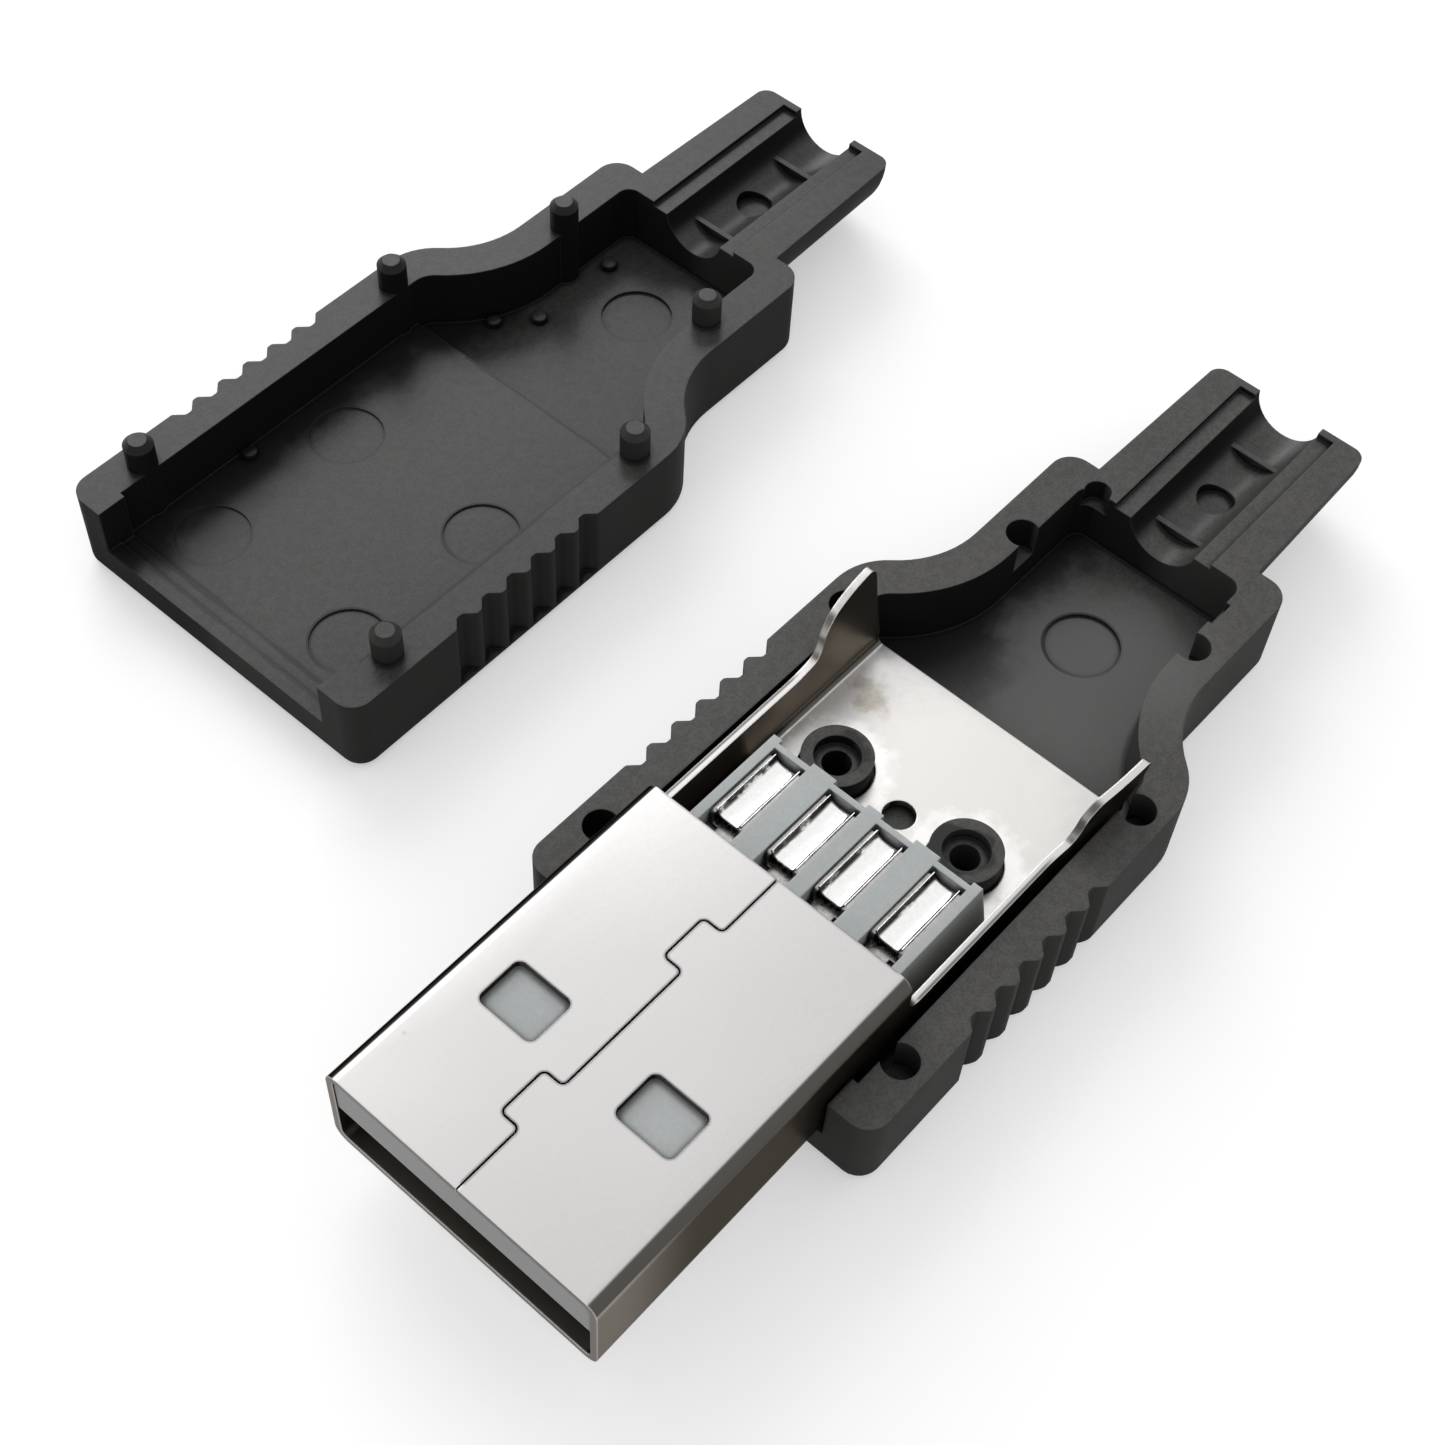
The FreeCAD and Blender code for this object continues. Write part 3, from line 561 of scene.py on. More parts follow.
@dataclass(frozen=True)
class Well:
    """The deep side of an open half, where walls and floor lie in each other's shade.

    Places are in millimetres along Y: walls are dark beyond the middle, and the floor is dark
    from its ragged rim to the wall.
    """

    middle: float
    floor_rim: float
    floor_foot: float
    wall_fade: float = 1.0
    floor_top: float = 2.4
    floor_fade: float = 0.3
    uneven: float = 2.2
    inward: Span = Span("Y", -0.3, 0.1)
    colour: Colour = (0.004, 0.004, 0.004)
    strength: float = 0.85

    def shade(self, graph: Graph, ragged: Socket, upright_faces: Socket, colour: Socket) -> Socket:
        """Darken the well.

        Args:
            graph: the material's graph.
            ragged: a value from 0 to 1 that makes the floor's rim uneven.
            upright_faces: the mask of upright faces.
            colour: the colour below.

        Returns:
            The darkened colour.
        """
        past = Span("Y", self.middle + self.wall_fade, self.middle - self.wall_fade)
        wall = graph.times(upright_faces, graph.zone(past), graph.facing(self.inward))
        way = (0.0, self.uneven * MM, 0.0)
        shift = graph.vector("SCALE", way, graph.math("SUBTRACT", ragged, 0.5))
        moved = graph.vector("ADD", graph.where, shift)
        low = graph.zone(Span("Z", self.floor_top, self.floor_top - self.floor_fade))
        near = graph.zone(Span("Y", self.floor_rim, self.floor_foot), where=moved)
        deepest = graph.math("MAXIMUM", wall, graph.times(low, near))
        return graph.mix(graph.times(deepest, self.strength), colour, self.colour)


# --- finishes


@dataclass(frozen=True)
class MouldedPlastic:
    """Black or grey moulded plastic with soft edges, fine grain, faint flow marks and painted
    shade.
    """

    name: str
    colour: Colour
    cloud_colour: Colour
    # paler edges, partly wear and partly painted highlight
    rubbed_and_lit_edge_colour: Colour
    # painted shade on upright faces
    upright_shade_colour: Colour
    roughness: float = 0.38
    cloud_roughness: Tuple[float, float] = (-0.03, 0.04)
    drawn_roughness: float = 0.62
    specular: float = 0.03
    polish: float = 0.45
    polish_roughness: float = 0.3
    speckle: float = 0.18
    grain: float = 0.000012
    grain_strength: float = 0.8
    edge_radius: float = 0.00012
    edge_wear_and_highlight: float = 0.5
    scatter: float = 0.0
    scatter_reach: float = 0.0008
    # painted shade in creases
    crease_shade_colour: Colour = PAINTED_SHADE_BLACK
    crease_shading: float = 0.85
    halos: Tuple[Halo, ...] = ()
    marks: Tuple[Mark, ...] = ()
    well: Optional[Well] = None

    def build(self, groups: Groups) -> Material:
        """Build the material; upright faces are duller, and darker by painted shade."""
        material, graph, shader = start_material(self.name)
        upright_faces = graph.upright()
        grain = graph.place(groups.grain, Vector=graph.where)
        cloud, height = grain.outputs["Cloud"], grain.outputs["Height"]
        edge = graph.place(groups.edge, Radius=self.edge_radius)
        body = graph.mix(cloud, self.colour, self.cloud_colour)
        speckle = graph.ramp(height, 0.4, 0.6, 1.0 - self.speckle, 1.0 + self.speckle)
        body = graph.mix(1.0, body, speckle, "MULTIPLY")
        for patch in self.halos:
            body = patch.spread(graph, cloud, body)
        # painted shade: upright faces take a darker colour
        body = graph.mix(upright_faces, body, self.upright_shade_colour)
        if self.well is not None:
            body = self.well.shade(graph, cloud, upright_faces, body)
        for mark in self.marks:
            body = mark.spread(graph, cloud, body)
        # painted shade in creases, where the sky closes in nearby
        crease = graph.place(groups.crease).outputs["Crease"]
        body = graph.mix(graph.times(crease, self.crease_shading), body, self.crease_shade_colour)
        # paler edges: partly wear, partly painted highlight
        rubbed_and_lit = graph.times(edge.outputs["Edge"], self.edge_wear_and_highlight)
        low, high = (self.roughness + extra for extra in self.cloud_roughness)
        rough = graph.ramp(cloud, 0.0, 1.0, low, high)
        duller = graph.times(upright_faces, self.drawn_roughness - self.roughness)
        coat = graph.times(graph.math("SUBTRACT", 1.0, upright_faces), self.polish)
        graph.wire(shader, Base_Color=graph.mix(rubbed_and_lit, body, self.rubbed_and_lit_edge_colour))
        graph.wire(shader, Roughness=graph.math("ADD", rough, duller))
        graph.wire(shader, Specular_IOR_Level=self.specular)
        graph.wire(shader, Coat_Weight=coat, Coat_Roughness=self.polish_roughness)
        if self.scatter:
            reach = (self.scatter_reach,) * 3
            graph.wire(shader, Subsurface_Weight=self.scatter, Subsurface_Radius=reach)
            graph.wire(shader, Subsurface_Scale=1.0)
        finish_relief(graph, shader, height, edge, self.grain_strength, self.grain)
        return material


class SheetSpan:
    """Where the folded sheet's finish changes: places in millimetres, turns as shares."""

    # Places
    MOUTH_TO_MIDDLE = Span("X", 24.8, 20.5)
    TRAY = Span("X", 9.8, 9.4)
    FAR_WALL = Span("Y", -5.2, -5.5)
    OUTER_HALF = Span("Y", 5.84, 5.92)
    ABOVE_TRAY_FLOOR = Span("Z", 3.0, 3.4)
    BEFORE_WINGS = Span("X", 1.6, 2.4)
    IN_TUBE = Span("X", 10.3, 11.0)
    TUBE_FLOOR = Span("Z", 3.6, 2.6)
    BETWEEN_FOLDS = Span("Y", 5.5, 5.2)
    TUBE_TOP = Span("Z", 5.9, 6.1)
    BEHIND_MOUTH = Span("X", 25.35, 25.15)
    # Turns; +Y is the side that the camera sees
    TO_CAMERA = Span("Y", 0.3, 0.6)
    NEAR_FOLD = Span("Y", 0.2, 0.4)
    NEAR_FLANK = Span("Y", 0.9, 0.97)
    FAR_FOLD = Span("Y", -0.25, -0.45)
    FAR_FLANK = Span("Y", -0.9, -0.97)
    UPWARDS = Span("Z", 0.5, 0.8)
    FORWARDS = Span("X", 0.6, 0.9)


@dataclass(frozen=True)
class PlatedSteel:
    """Bright plate over folded sheet: hazy, a little dented, with painted shade on the flanks."""

    name: str
    colour: Colour
    haze_colour: Colour
    # the next two colours are painted shade on the flanks
    flank_shade_colour: Colour
    far_flank_shade_colour: Colour
    # the next four colours are painted shade
    inside_shade_colour: Colour
    shadow_colour: Colour
    fold_shade_colour: Colour
    cave_shade_colour: Colour
    cut_colour: Colour
    # paler edges: painted highlight
    rubbed_and_lit_edge_colour: Colour
    speck_colour: Colour = grey(0.2, 0.05)
    specks: float = 0.3
    # painted shade round the seam and the windows
    gap_shade_colour: Colour = (0.02, 0.019, 0.018)
    gap_radius: float = 0.00018
    gap_strength: float = 0.9
    edge_tint: Colour = (0.35, 0.335, 0.32)
    edge_radius: float = 0.00008
    edge_wear_and_highlight: float = 0.8
    wall_top_shade: float = 0.85
    roughness: float = 0.3
    haze_roughness: Tuple[float, float] = (-0.01, 0.03)
    scratches: float = 0.05
    relief_strength: float = 0.35
    relief_depth: float = 0.00005
    halos: Tuple[Halo, ...] = ()

    def paint_sides(self, graph: Graph, colour: Socket) -> Socket:
        """Paint shade onto the flanks, the tray's near wall outside and its far wall inside."""
        away = graph.zone(SheetSpan.MOUTH_TO_MIDDLE)
        shaded_flank = graph.mix(away, self.flank_shade_colour, self.far_flank_shade_colour)
        colour = graph.mix(graph.upright(0.22, 0.55), colour, shaded_flank)
        near = graph.facing(SheetSpan.TO_CAMERA)
        outside = graph.times(near, graph.zone(SheetSpan.TRAY))
        colour = graph.mix(outside, colour, self.fold_shade_colour)
        inside = graph.times(near, graph.zone(SheetSpan.FAR_WALL))
        return graph.mix(inside, colour, self.inside_shade_colour)

    def paint_depths(self, graph: Graph, colour: Socket) -> Socket:
        """Paint shade into the folds, the tray walls' outer tops and the tube's floor, and darken
        the cut end.
        """
        spans, up = SheetSpan, graph.facing(SheetSpan.UPWARDS)
        colour = graph.mix(graph.band(spans.NEAR_FOLD, spans.NEAR_FLANK), colour, self.fold_shade_colour)
        outer = graph.zone(spans.OUTER_HALF, both_sides=True)
        wall_top = graph.times(up, graph.zone(spans.ABOVE_TRAY_FLOOR))
        beside = graph.times(graph.zone(spans.BEFORE_WINGS), graph.zone(spans.TRAY))
        shaded = graph.times(outer, wall_top, beside)
        colour = graph.mix(graph.times(shaded, self.wall_top_shade), colour, self.fold_shade_colour)
        cave = graph.times(graph.zone(spans.IN_TUBE), graph.zone(spans.TUBE_FLOOR))
        colour = graph.mix(graph.times(cave, up), colour, self.cave_shade_colour)
        far_fold = graph.band(spans.FAR_FOLD, spans.FAR_FLANK)
        colour = graph.mix(far_fold, colour, self.shadow_colour)
        return graph.mix(graph.facing(spans.FORWARDS), colour, self.cut_colour)

    def paint_edges(self, graph: Graph, colour: Socket, edge: Node, gap: Node) -> Socket:
        """Paint highlights on the edges, and draw the seam and the windows with wider outlines of
        painted shade.
        """
        middle = graph.zone(SheetSpan.BETWEEN_FOLDS, both_sides=True)
        top = graph.zone(SheetSpan.TUBE_TOP)
        behind = graph.zone(SheetSpan.BEHIND_MOUTH)
        on_top = graph.times(middle, graph.times(top, behind))
        rubbed_and_lit = graph.mix(on_top, self.rubbed_and_lit_edge_colour, self.gap_shade_colour)
        colour = graph.mix(graph.times(edge.outputs["Edge"], self.edge_wear_and_highlight), colour, rubbed_and_lit)
        outline = graph.times(gap.outputs["Edge"], on_top, self.gap_strength)
        return graph.mix(outline, colour, self.gap_shade_colour)

    def build(self, groups: Groups) -> Material:
        """Build the material."""
        material, graph, shader = start_material(self.name)
        plate = graph.place(groups.haze, Vector=graph.where)
        haze = plate.outputs["Haze"]
        edge = graph.place(groups.edge, Radius=self.edge_radius)
        gap = graph.place(groups.edge, Radius=self.gap_radius)
        colour = graph.mix(haze, self.colour, self.haze_colour)
        specks = graph.times(plate.outputs["Specks"], self.specks)
        colour = graph.mix(specks, colour, self.speck_colour)
        colour = self.paint_sides(graph, colour)
        ragged = graph.noise(per_metre=1500.0, detail=3.0, roughness=0.6)
        ragged = graph.ramp(ragged, 0.25, 0.75)
        for patch in self.halos:
            colour = patch.spread(graph, ragged, colour)
        colour = self.paint_depths(graph, colour)
        colour = self.paint_edges(graph, colour, edge, gap)
        low, high = (self.roughness + extra for extra in self.haze_roughness)
        graph.wire(shader, Base_Color=colour, Metallic=1.0, Specular_Tint=self.edge_tint)
        graph.wire(shader, Roughness=graph.ramp(haze, 0.0, 1.0, low, high))
        hairs = graph.times(plate.outputs["Scratches"], self.scratches)
        height = graph.math("ADD", plate.outputs["Dents"], hairs)
        finish_relief(graph, shader, height, edge, self.relief_strength, self.relief_depth)
        return material


@dataclass(frozen=True)
class TinPlate:
    """Bright tin over a stamped contact, wavy as if dipped, with painted shade on upright faces
    broken by painted glints.
    """

    name: str
    colour: Colour
    low_colour: Colour
    # painted shade on upright faces
    wall_shade_colour: Colour
    roughness: float = 0.16
    haze_roughness: Tuple[float, float] = (-0.04, 0.08)
    edge_radius: float = 0.00008
    wave_strength: float = 0.5
    wave_depth: float = 0.00008

    def build(self, groups: Groups) -> Material:
        """Build the material."""
        material, graph, shader = start_material(self.name)
        haze = graph.place(groups.haze, Vector=graph.where).outputs["Haze"]
        edge = graph.place(groups.edge, Radius=self.edge_radius)
        glints = graph.noise(per_metre=2400.0, detail=3.0, roughness=0.6, stretch=(0.5, 1.0, 1.0))
        # painted shade on upright faces, broken by painted glints
        wall = graph.times(graph.upright(0.35, 0.7), graph.ramp(glints, 0.52, 0.6, 1.0, 0.25))
        colour = graph.mix(haze, self.colour, self.low_colour)
        low, high = (self.roughness + extra for extra in self.haze_roughness)
        graph.wire(shader, Base_Color=graph.mix(wall, colour, self.wall_shade_colour), Metallic=1.0)
        graph.wire(shader, Roughness=graph.ramp(haze, 0.0, 1.0, low, high))
        wave = graph.noise(per_metre=1100.0, detail=2.0, roughness=0.5, stretch=(0.35, 1.0, 1.0))
        finish_relief(graph, shader, wave, edge, self.wave_strength, self.wave_depth)
        return material


# --- surfaces


def grid_faces(rows: int, columns: int, wrap_columns: bool) -> np.ndarray:
    """Return the quads of a grid of points.

    Face (i, j) joins points (i, j), (i+1, j), (i+1, j+1) and (i, j+1).

    Args:
        rows: points along the first parameter.
        columns: points along the second.
        wrap_columns: whether the last column is joined to the first.

    Returns:
        An array of four point numbers for each face.
    """
    i, j = np.arange(rows - 1), np.arange(columns if wrap_columns else columns - 1)
    i, j = np.meshgrid(i, j, indexing="ij")
    i2, j2 = i + 1, (j + 1) % columns
    corners = [i * columns + j, i2 * columns + j, i2 * columns + j2, i * columns + j2]
    return np.stack(corners, axis=-1).reshape(-1, 4)


def show(name: str, data: object) -> Object:
    """Put data into a new object of the scene."""
    piece = bpy.data.objects.new(name, data)
    bpy.context.scene.collection.objects.link(piece)
    return piece


def shade_smooth(piece: Object, angle: float) -> None:
    """Shade one object smooth, but for corners sharper than an angle in degrees."""
    bpy.ops.object.select_all(action="DESELECT")
    bpy.context.view_layer.objects.active = piece
    piece.select_set(True)
    bpy.ops.object.shade_smooth_by_angle(angle=math.radians(angle))
    piece.select_set(False)


def mesh_from(
    name: str,
    points: np.ndarray,
    faces: Sequence[Sequence[int]],
    material: Material,
    smooth_angle: float = 35.0,
) -> Object:
    """Put points and faces into an object, turn its faces outwards and dress it.

    Args:
        name: the piece's name.
        points: points in metres, one row each.
        faces: point numbers of each face.
        material: its finish.
        smooth_angle: corners flatter than this, in degrees, are shaded smooth.

    Returns:
        The object, riding on the body.
    """
    mesh = bpy.data.meshes.new(name)
    mesh.from_pydata(points.tolist(), [], [list(map(int, face)) for face in faces])
    work = bmesh.new()
    work.from_mesh(mesh)
    bmesh.ops.remove_doubles(work, verts=work.verts, dist=WELD)
    bmesh.ops.recalc_face_normals(work, faces=work.faces)
    work.to_mesh(mesh)
    work.free()
    piece = show(name, mesh)
    shade_smooth(piece, smooth_angle)
    mesh.materials.append(material)
    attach(piece, BODY)
    return piece


def smooth_step(value: np.ndarray) -> np.ndarray:
    """Return 3t^2 - 2t^3 with t held between 0 and 1."""
    t = np.clip(value, 0.0, 1.0)
    return t * t * (3.0 - 2.0 * t)


# --- the pieces


def dress(node: str, material: Material) -> None:
    """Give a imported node's object its finish."""
    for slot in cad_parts[node].material_slots:
        slot.material = material


@dataclass
class Housing:
    """The two black plastic halves, and the gate stubs on the cover's floor; in millimetres."""

    stub_places: Tuple[Point, ...] = (
        (-6.9, -27.92, 1.2),
        (-5.4, -29.2, 1.2),
        (-11.4, -27.98, 1.2),
        (7.1, -30.85, 1.55),
    )
    stub_radius: float = 0.36
    stub_rise: float = 0.32
    stub_sink: float = 0.05
    rings: int = 12
    spokes: int = 24

    def build_stubs(self, plastic: Material) -> None:
        """Stand the short gate stubs on the cover's floor.

        Each stub is a body of revolution: at t from 0 to 1 its radius is r * (1 - t^6)^(1/2)
        and its height is h * t, closed by a point on top and by its foot in the floor.
        """
        t = np.linspace(0.0, 1.0, self.rings)
        angle = np.linspace(0.0, 2.0 * np.pi, self.spokes, endpoint=False)
        radius = self.stub_radius * np.sqrt(1.0 - t**6)
        for number, (place_x, place_y, floor_z) in enumerate(self.stub_places):
            x = place_x + radius[:, None] * np.cos(angle)
            y = place_y + radius[:, None] * np.sin(angle)
            z = floor_z - self.stub_sink + (self.stub_rise + self.stub_sink) * t[:, None]
            points = np.stack(np.broadcast_arrays(x, y, z), axis=-1).reshape(-1, 3) * MM
            faces = [list(face) for face in grid_faces(self.rings, self.spokes, True)]
            faces.append(list(range(self.spokes)))
            mesh_from("gate_stub_%d" % number, points, faces, plastic)
        log.info("%d gate stubs", len(self.stub_places))

    def build(self, base: Material, cover: Material) -> None:
        """Dress the two packed halves and add the stubs."""
        dress("base_shell", base)
        dress("cover_shell", cover)
        self.build_stubs(cover)
        log.info("housing dressed")


@dataclass
class FoldedSheet:
    """The plug's folded sheet, with the tray's two rear wings bent up and outwards.

    Every length is in millimetres. A point at height z, a share u along the wing and a share
    v up it moves outwards by lean * u * v, up by rise * u * v, and its sloping end moves
    forwards by reach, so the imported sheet's straight wing becomes the bent one.
    """

    wing_front: float = 1.9
    wing_rear: float = -2.9
    foot_z: float = 2.7
    rim_z: float = 4.35
    top_z: float = 5.6
    wall_y: float = 5.5
    lean: float = 0.55
    rise: float = 0.55
    reach: float = 1.3
    reach_start: float = 4.6
    reach_full: float = 0.4
    rear_fade: float = 2.0
    top_hold: float = 0.7
    cuts_along: Tuple[float, float, int] = (-2.6, 4.6, 21)
    cuts_up: Tuple[float, float, int] = (2.7, 5.5, 10)
    smooth_angle: float = 30.0

    def bend(self, points: np.ndarray) -> np.ndarray:
        """Return the sheet's points with the wings bent."""
        x, y, z = points[:, 0], points[:, 1], points[:, 2]
        wall = np.abs(y) > self.wall_y
        u = smooth_step((self.wing_front - x) / (self.wing_front - self.wing_rear))
        v = np.clip((z - self.foot_z) / (self.top_z - self.foot_z), 0.0, 1.0)
        above = np.clip((z - self.rim_z) / (self.top_z - self.rim_z), 0.0, 1.0)
        near = smooth_step((self.reach_start - x) / (self.reach_start - self.reach_full))
        behind = smooth_step((x - self.wing_rear) / self.rear_fade)
        forwards = self.reach * near * behind * v * (1.0 - self.top_hold * above)
        moved = points.copy()
        moved[:, 0] += np.where(wall, forwards, 0.0)
        moved[:, 1] += np.where(wall, np.sign(y) * self.lean * u * v, 0.0)
        moved[:, 2] += np.where(wall, self.rise * u * above, 0.0)
        return moved

    def build(self, steel: Material) -> None:
        """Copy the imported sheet, cut it finely near the wings, bend them and dress it."""
        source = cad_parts["metal_shield"]
        mesh = source.data.copy()
        mesh.name = "folded_sheet"
        stale = mesh.attributes.get("custom_normal")
        if stale is not None:
            mesh.attributes.remove(stale)
        work = bmesh.new()
        work.from_mesh(mesh)
        bmesh.ops.remove_doubles(work, verts=work.verts, dist=WELD)
        cuts = [((x, 0.0, 0.0), (1.0, 0.0, 0.0)) for x in np.linspace(*self.cuts_along)]
        cuts += [((0.0, 0.0, z), (0.0, 0.0, 1.0)) for z in np.linspace(*self.cuts_up)]
        for place, way in cuts:
            everything = work.verts[:] + work.edges[:] + work.faces[:]
            bmesh.ops.bisect_plane(
                work, geom=everything, dist=WELD, plane_co=Vector(place) * MM, plane_no=way
            )
        bmesh.ops.triangulate(work, faces=work.faces)
        work.to_mesh(mesh)
        work.free()
        points = np.empty(len(mesh.vertices) * 3)
        mesh.vertices.foreach_get("co", points)
        moved = self.bend(points.reshape(-1, 3) / MM) * MM
        mesh.vertices.foreach_set("co", moved.reshape(-1))
        mesh.materials.clear()
        mesh.materials.append(steel)
        piece = show("folded_sheet", mesh)
        shade_smooth(piece, self.smooth_angle)
        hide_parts("metal_shield")
        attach(piece, BODY)
        log.info("folded sheet of %d points", len(mesh.vertices))


@dataclass
class SolderCups:
    """The tin that lines the four solder cups. Every length is in millimetres."""

    middles: Tuple[float, ...] = (-3.7, -1.1, 1.1, 3.7)
    rear_x: float = 5.0
    front_x: float = 8.35
    floor_z: float = 3.82
    half_width: float = 0.54
    depth: float = 0.34
    squareness: float = 3.0
    bow: float = 0.06
    front_bow_share: float = 0.5
    dip: float = 0.04
    thickness: float = 0.05
    points_across: int = 33
    points_along: int = 41
    smooth_angle: float = 60.0

    def build(self, tin: Material) -> None:
        """Lay one lining in each cup.

        Across a cup, at angle f from -pi to 0, y is a * sgn(cos f) * |cos f|^(2/p) and z is
        b * (1 - |sin f|^(2/p)). Along it, the floor's ends draw back by bow * |sin f|^2, and
        the floor dips in its middle.
        """
        f = np.linspace(-np.pi, 0.0, self.points_across)
        share = np.linspace(0.0, 1.0, self.points_along)[:, None]
        c, s = np.cos(f), np.abs(np.sin(f))
        across = self.half_width * np.sign(c) * np.abs(c) ** (2.0 / self.squareness)
        up = self.depth * (1.0 - s ** (2.0 / self.squareness))
        drawn_back = self.bow * s**2
        low = self.rear_x + drawn_back
        high = self.front_x - self.front_bow_share * drawn_back
        x = low + (high - low) * share
        z = self.floor_z + up - self.dip * np.sin(np.pi * share) * s
        faces = grid_faces(self.points_along, self.points_across, False)
        for middle in self.middles:
            points = np.stack(np.broadcast_arrays(x, middle + across, z), axis=-1)
            points = points.reshape(-1, 3) * MM
            name = "cup_lining_%s" % ("%.1f" % middle).replace("-", "left_").replace(".", "_")
            piece = mesh_from(name, points, faces, tin, self.smooth_angle)
            thicken = piece.modifiers.new("thickness", "SOLIDIFY")
            thicken.thickness = self.thickness * MM
            thicken.offset = 1.0
        log.info("%d cup linings", len(self.middles))


@dataclass
class MetalPlug:
    """The folded metal plug with its insulator and its four contacts."""

    sheet: FoldedSheet = field(default_factory=FoldedSheet)
    cups: SolderCups = field(default_factory=SolderCups)
    contacts: Tuple[str, ...] = (
        "contact_power", "contact_data_minus", "contact_data_plus", "contact_ground"
    )

    def build(self, steel: Material, insulator: Material, tin: Material, dull: Material) -> None:
        """Bend the sheet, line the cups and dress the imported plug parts."""
        self.sheet.build(steel)
        self.cups.build(tin)
        dress("contact_carrier", insulator)
        for node in self.contacts:
            dress(node, dull)
        log.info("plug dressed")


# --- floor, light and camera


@dataclass
class Studio:
    """A plain pale floor, a soft key light from behind and a pale surround."""

    floor_half: float = 3.0
    floor_drop: float = 0.00002
    floor_colour: Colour = (0.8, 0.8, 0.8)
    lift: float = 0.4
    surround: float = 0.62
    key_from: Point = (-0.22, -0.42, 0.3)
    key_size: float = 0.4
    key_watts: float = 1.4
    aim: Point = (0.0, -0.012, 0.0)

    def seen_directly(self, graph: Graph) -> Socket:
        """Return 1 for rays from the camera and for mirror and glass rays, else 0."""
        path = graph.add("ShaderNodeLightPath")
        seen = graph.math("MAXIMUM", path.outputs["Is Camera Ray"], path.outputs["Is Glossy Ray"])
        return graph.math("MAXIMUM", seen, path.outputs["Is Transmission Ray"])

    def build_floor(self) -> None:
        """Lay the floor, which keeps the object's shadow and is lifted to white."""
        mesh = bpy.data.meshes.new("floor")
        h = self.floor_half
        mesh.from_pydata([(-h, -h, 0), (h, -h, 0), (h, h, 0), (-h, h, 0)], [], [(0, 1, 2, 3)])
        floor = show("floor", mesh)
        material, graph, shader = start_material("floor_paper")
        graph.wire(shader, Base_Color=self.floor_colour, Roughness=0.9, Specular_IOR_Level=0.1)
        shine = graph.times(self.seen_directly(graph), self.lift)
        glow = graph.add("ShaderNodeEmission", Color=(1.0, 1.0, 1.0), Strength=shine)
        both = graph.add("ShaderNodeAddShader")
        graph.feed(both.inputs[0], shader.outputs[0])
        graph.feed(both.inputs[1], glow.outputs[0])
        graph.wire(material.node_tree.nodes["Material Output"], Surface=both.outputs[0])
        mesh.materials.append(material)
        floor.location.z = -self.floor_drop

    def build_surround(self) -> None:
        """Make the world: white where it is seen, softer where it lights."""
        world = bpy.data.worlds.new("surround")
        world.use_nodes = True
        bpy.context.scene.world = world
        graph = Graph(world.node_tree)
        strength = graph.ramp(self.seen_directly(graph), 0.0, 1.0, self.surround, 1.0)
        back = world.node_tree.nodes["Background"]
        graph.wire(back, Color=(1.0, 1.0, 1.0), Strength=strength)

    def build_key(self) -> None:
        """Hang the one large soft lamp behind and above the object."""
        lamp = bpy.data.lights.new("key", "AREA")
        lamp.shape = "SQUARE"
        lamp.size = self.key_size
        lamp.energy = self.key_watts
        light = show("key", lamp)
        light.location = Vector(self.key_from)
        way = Vector(self.aim) - light.location
        light.rotation_euler = way.to_track_quat("-Z", "Y").to_euler()

    def build(self) -> None:
        """Build floor, surround and lamp."""
        self.build_floor()
        self.build_surround()
        self.build_key()
        log.info("studio set")


@dataclass
class PhotoCamera:
    """The camera as it stood: turned, tipped and rolled about the plug's mouth.

    Angles are radians, and the shifts, the distance and the mouth's place are millimetres.
    """

    azimuth: float = -10.331461
    elevation: float = -11.611228
    roll: float = -12.493596
    focal_pixels: float = 2324.245
    image_pixels: float = 1445.0
    shift_right: float = -8.46768
    shift_down: float = 17.103891
    distance: float = 75.947977
    mouth: Point = (25.5, 0.0, 1.75)
    sensor_width: float = 36.0
    clip: Tuple[float, float] = (0.005, 20.0)

    def build(self) -> None:
        """Place the camera and make it the scene's.

        The view axis is (-sin a cos e, cos a cos e, -sin e), right is (cos a, sin a, 0) and
        down is their cross product; roll turns right and down about the view axis.
        """
        az, el, roll = self.azimuth, self.elevation, self.roll
        level = math.cos(el)
        ahead = np.array([-math.sin(az) * level, math.cos(az) * level, -math.sin(el)])
        right = np.array([math.cos(az), math.sin(az), 0.0])
        down = np.cross(ahead, right)
        c, s = math.cos(roll), math.sin(roll)
        right, down = c * right - s * down, s * right + c * down
        turn = np.stack([right, down, ahead])
        place = -turn.T @ np.array([self.shift_right, self.shift_down, self.distance])
        place = (place + np.array(self.mouth)) * MM
        data = bpy.data.cameras.new("camera")
        data.sensor_width = self.sensor_width
        data.sensor_fit = "HORIZONTAL"
        data.lens = self.focal_pixels / self.image_pixels * self.sensor_width
        data.clip_start, data.clip_end = self.clip
        camera = show("camera", data)
        axes = Matrix((tuple(right), tuple(-down), tuple(-ahead))).transposed()
        camera.matrix_world = Matrix.Translation(Vector(place)) @ axes.to_4x4()
        bpy.context.scene.camera = camera
        log.info("camera at %s mm", np.round(place / MM, 2))


# --- the finishes of this plug


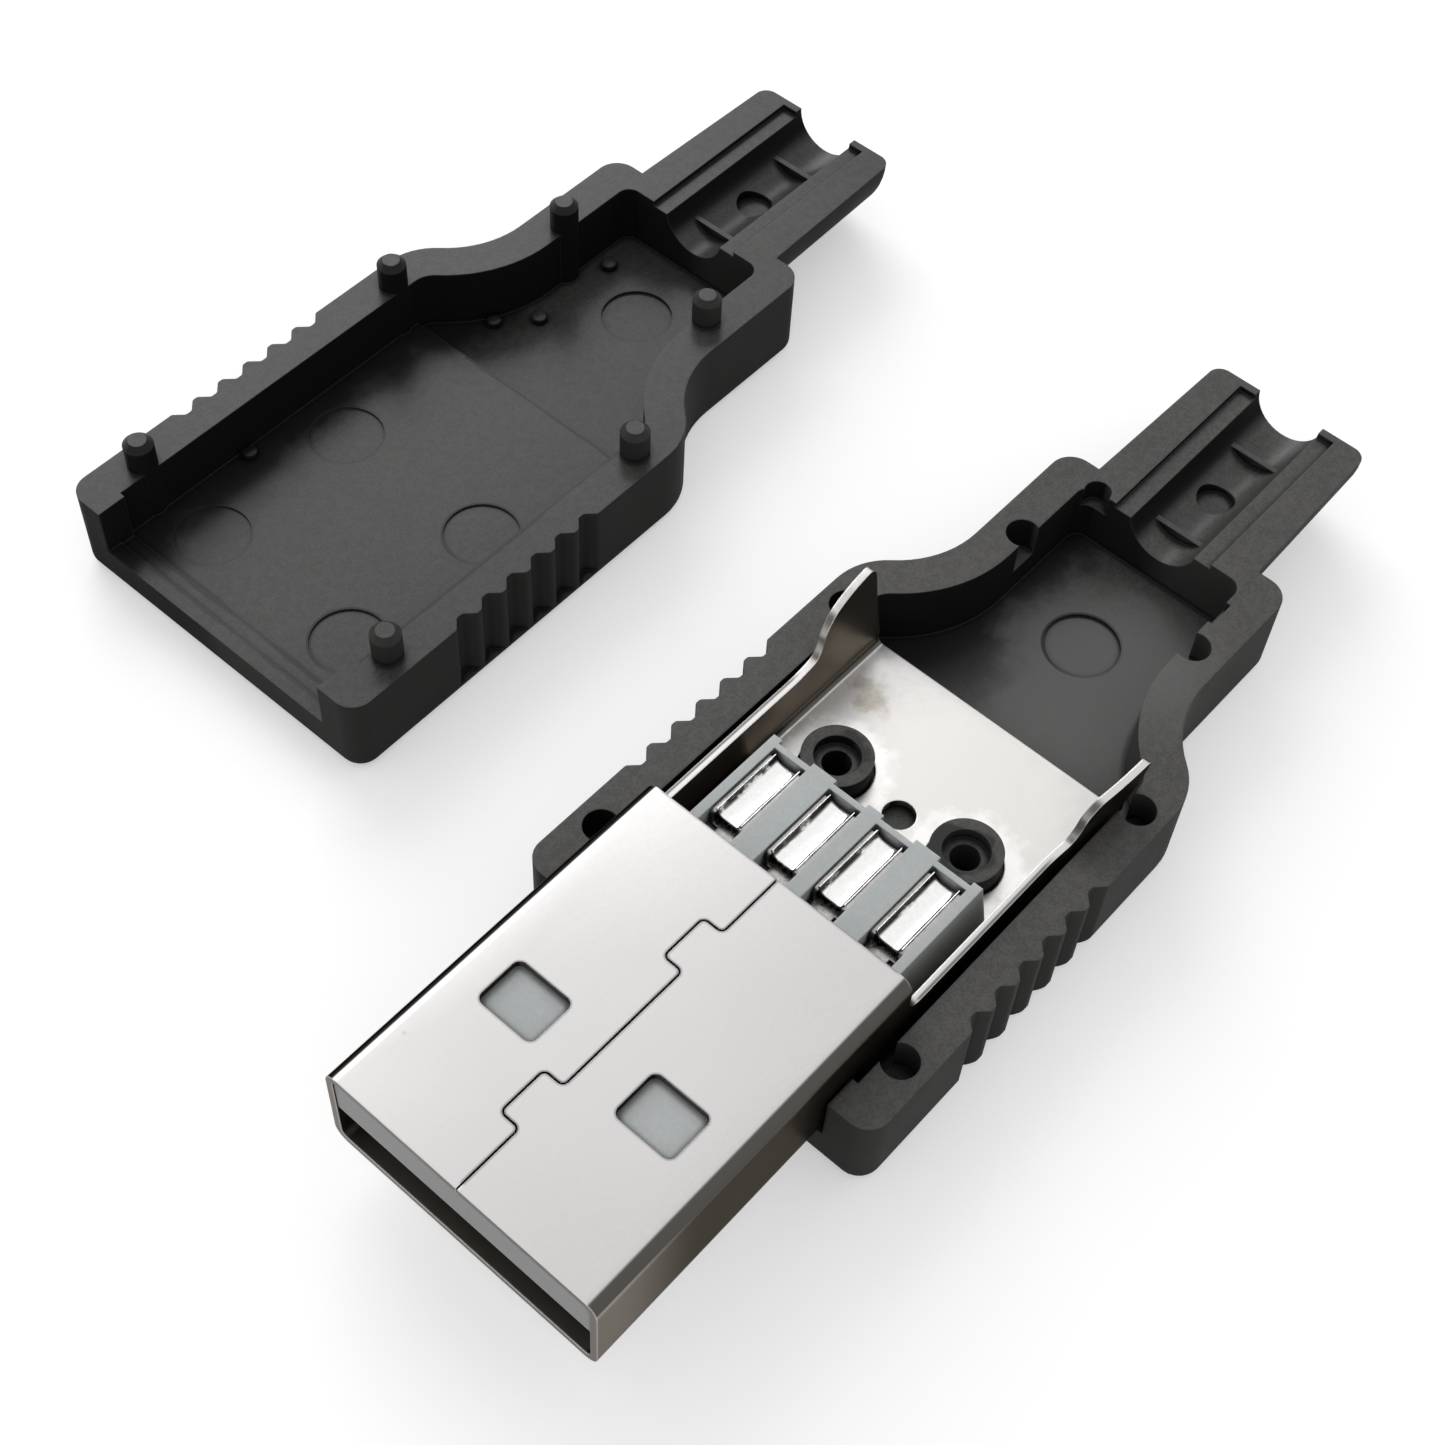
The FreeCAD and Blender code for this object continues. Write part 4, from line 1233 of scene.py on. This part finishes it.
def base_finish() -> MouldedPlastic:
    """Return the base half's finish: dark rings round its posts and a pale patch of painted light
    behind.
    """
    ring, pale = grey(0.012, 0.03), grey(0.125, 0.015)
    rings = tuple(Halo((2.85, y, 4.0), 1.5, 1.75, ring, 0.8) for y in (-3.05, 3.05))
    return MouldedPlastic(
        "base_moulding",
        colour=grey(0.07, 0.025),
        cloud_colour=grey(0.077, 0.03),
        rubbed_and_lit_edge_colour=grey(0.09, 0.02),
        upright_shade_colour=grey(0.048, 0.03),
        # the pale patch is painted light on the floor
        halos=rings + (Halo((-7.5, 1.5, 1.2), 2.6, 6.5, pale, 0.9),),
        well=Well(0.0, -1.0, -3.6),
        marks=(Rim((-8.85, 0.0, 1.14), 1.55, 0.9),),
    )


def cover_finish() -> MouldedPlastic:
    """Return the cover half's finish, with painted shade in the rims of its marks and along its
    steps.
    """
    rims = (
        Rim((3.65, -28.79, 1.51), 1.57, 0.4),
        Rim((10.99, -28.72, 1.51), 1.57, 0.45),
        Rim((3.57, -20.99, 1.51), 1.57, 0.9),
        Rim((10.92, -20.92, 1.51), 1.57, 0.95),
        Rim((-9.99, -25.01, 1.14), 1.55, 0.4),
    )
    floor_step = Seam((-2.97, -28.3, 1.55), (-3.05, -18.7, 1.55), 0.85)
    lip_foot = Seam((13.17, -31.0, 1.6), (13.05, -18.6, 1.6), 0.75)
    lip_top = Seam((13.79, -30.9, 1.7), (13.68, -18.7, 1.7), 0.6)
    near_rim = Seam((12.4, -18.46, 4.0), (-2.9, -18.6, 4.0), 0.7)
    return MouldedPlastic(
        "cover_moulding",
        colour=grey(0.045, 0.025),
        cloud_colour=grey(0.05, 0.03),
        rubbed_and_lit_edge_colour=grey(0.065, 0.02),
        upright_shade_colour=grey(0.032, 0.03),
        well=Well(-24.9, -28.2, -30.6),
        marks=rims + (floor_step, lip_foot, lip_top, near_rim),
    )


def insulator_finish() -> MouldedPlastic:
    """Return the pale grey contact carrier's finish."""
    return MouldedPlastic(
        "insulator_moulding",
        colour=(0.49, 0.515, 0.515),
        cloud_colour=(0.53, 0.55, 0.55),
        rubbed_and_lit_edge_colour=(0.6, 0.61, 0.61),
        upright_shade_colour=(0.38, 0.385, 0.38),
        roughness=0.45,
        polish=0.1,
        speckle=0.03,
        grain=0.000003,
        edge_radius=0.00008,
        scatter=0.2,
        crease_shade_colour=(0.03, 0.03, 0.03),
        crease_shading=0.7,
    )


def steel_finish() -> PlatedSteel:
    """Return the sheet's finish: pale tray and post rings, one stain and one lit wing."""
    tray, ring = (0.72, 0.7, 0.67), (0.85, 0.84, 0.83)
    stain, lit = (0.34, 0.305, 0.25), (0.24, 0.215, 0.185)
    return PlatedSteel(
        "bright_plate",
        colour=(0.605, 0.596, 0.593),
        haze_colour=(0.575, 0.564, 0.56),
        # the next six colours are painted shade, and the edge colour after the cut colour is a
        # painted highlight
        flank_shade_colour=(0.36, 0.335, 0.305),
        far_flank_shade_colour=(0.12, 0.112, 0.1),
        inside_shade_colour=(0.2, 0.178, 0.152),
        shadow_colour=(0.02, 0.019, 0.018),
        fold_shade_colour=(0.085, 0.08, 0.072),
        cave_shade_colour=(0.13, 0.115, 0.098),
        cut_colour=(0.36, 0.35, 0.34),
        rubbed_and_lit_edge_colour=(0.8, 0.79, 0.78),
        halos=(
            Halo((1.0, 1.0, 2.05), 3.2, 6.5, tray, 0.9),
            Halo((2.85, -3.05, 2.05), 1.7, 2.6, ring, 0.9),
            Halo((2.85, 3.05, 2.05), 1.7, 2.6, ring, 0.9),
            Halo((-0.6, -4.2, 2.05), 0.1, 1.2, stain, 0.75),
            Halo((-1.2, -6.0, 4.2), 0.6, 2.6, lit, 0.9),
        ),
    )


def tin_finishes() -> Tuple[TinPlate, TinPlate]:
    """Return the bright tin of the cups' linings and the duller tin of the contacts."""
    # the last colour of each is painted shade on upright faces
    colours = (0.93, 0.925, 0.92), (0.86, 0.855, 0.85), (0.1, 0.098, 0.095)
    dull = (0.5, 0.49, 0.48), (0.36, 0.35, 0.34), (0.07, 0.068, 0.065)
    return TinPlate("bright_tin", *colours), TinPlate("dull_tin", *dull, roughness=0.25)


def main() -> None:
    """Build the scene in order: camera, studio, finishes, housing and plug."""
    logging.basicConfig(level=logging.INFO, format="%(message)s")
    bpy.context.scene.view_settings.view_transform = "Standard"
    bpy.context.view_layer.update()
    PhotoCamera().build()
    Studio().build()
    groups = Groups()
    finishes = (base_finish(), cover_finish(), insulator_finish(), steel_finish())
    built = [finish.build(groups) for finish in finishes + tin_finishes()]
    base, cover, insulator, steel, tin, dull_tin = built
    Housing().build(base, cover)
    MetalPlug().build(steel, insulator, tin, dull_tin)


if __name__ == "__main__":
    main()
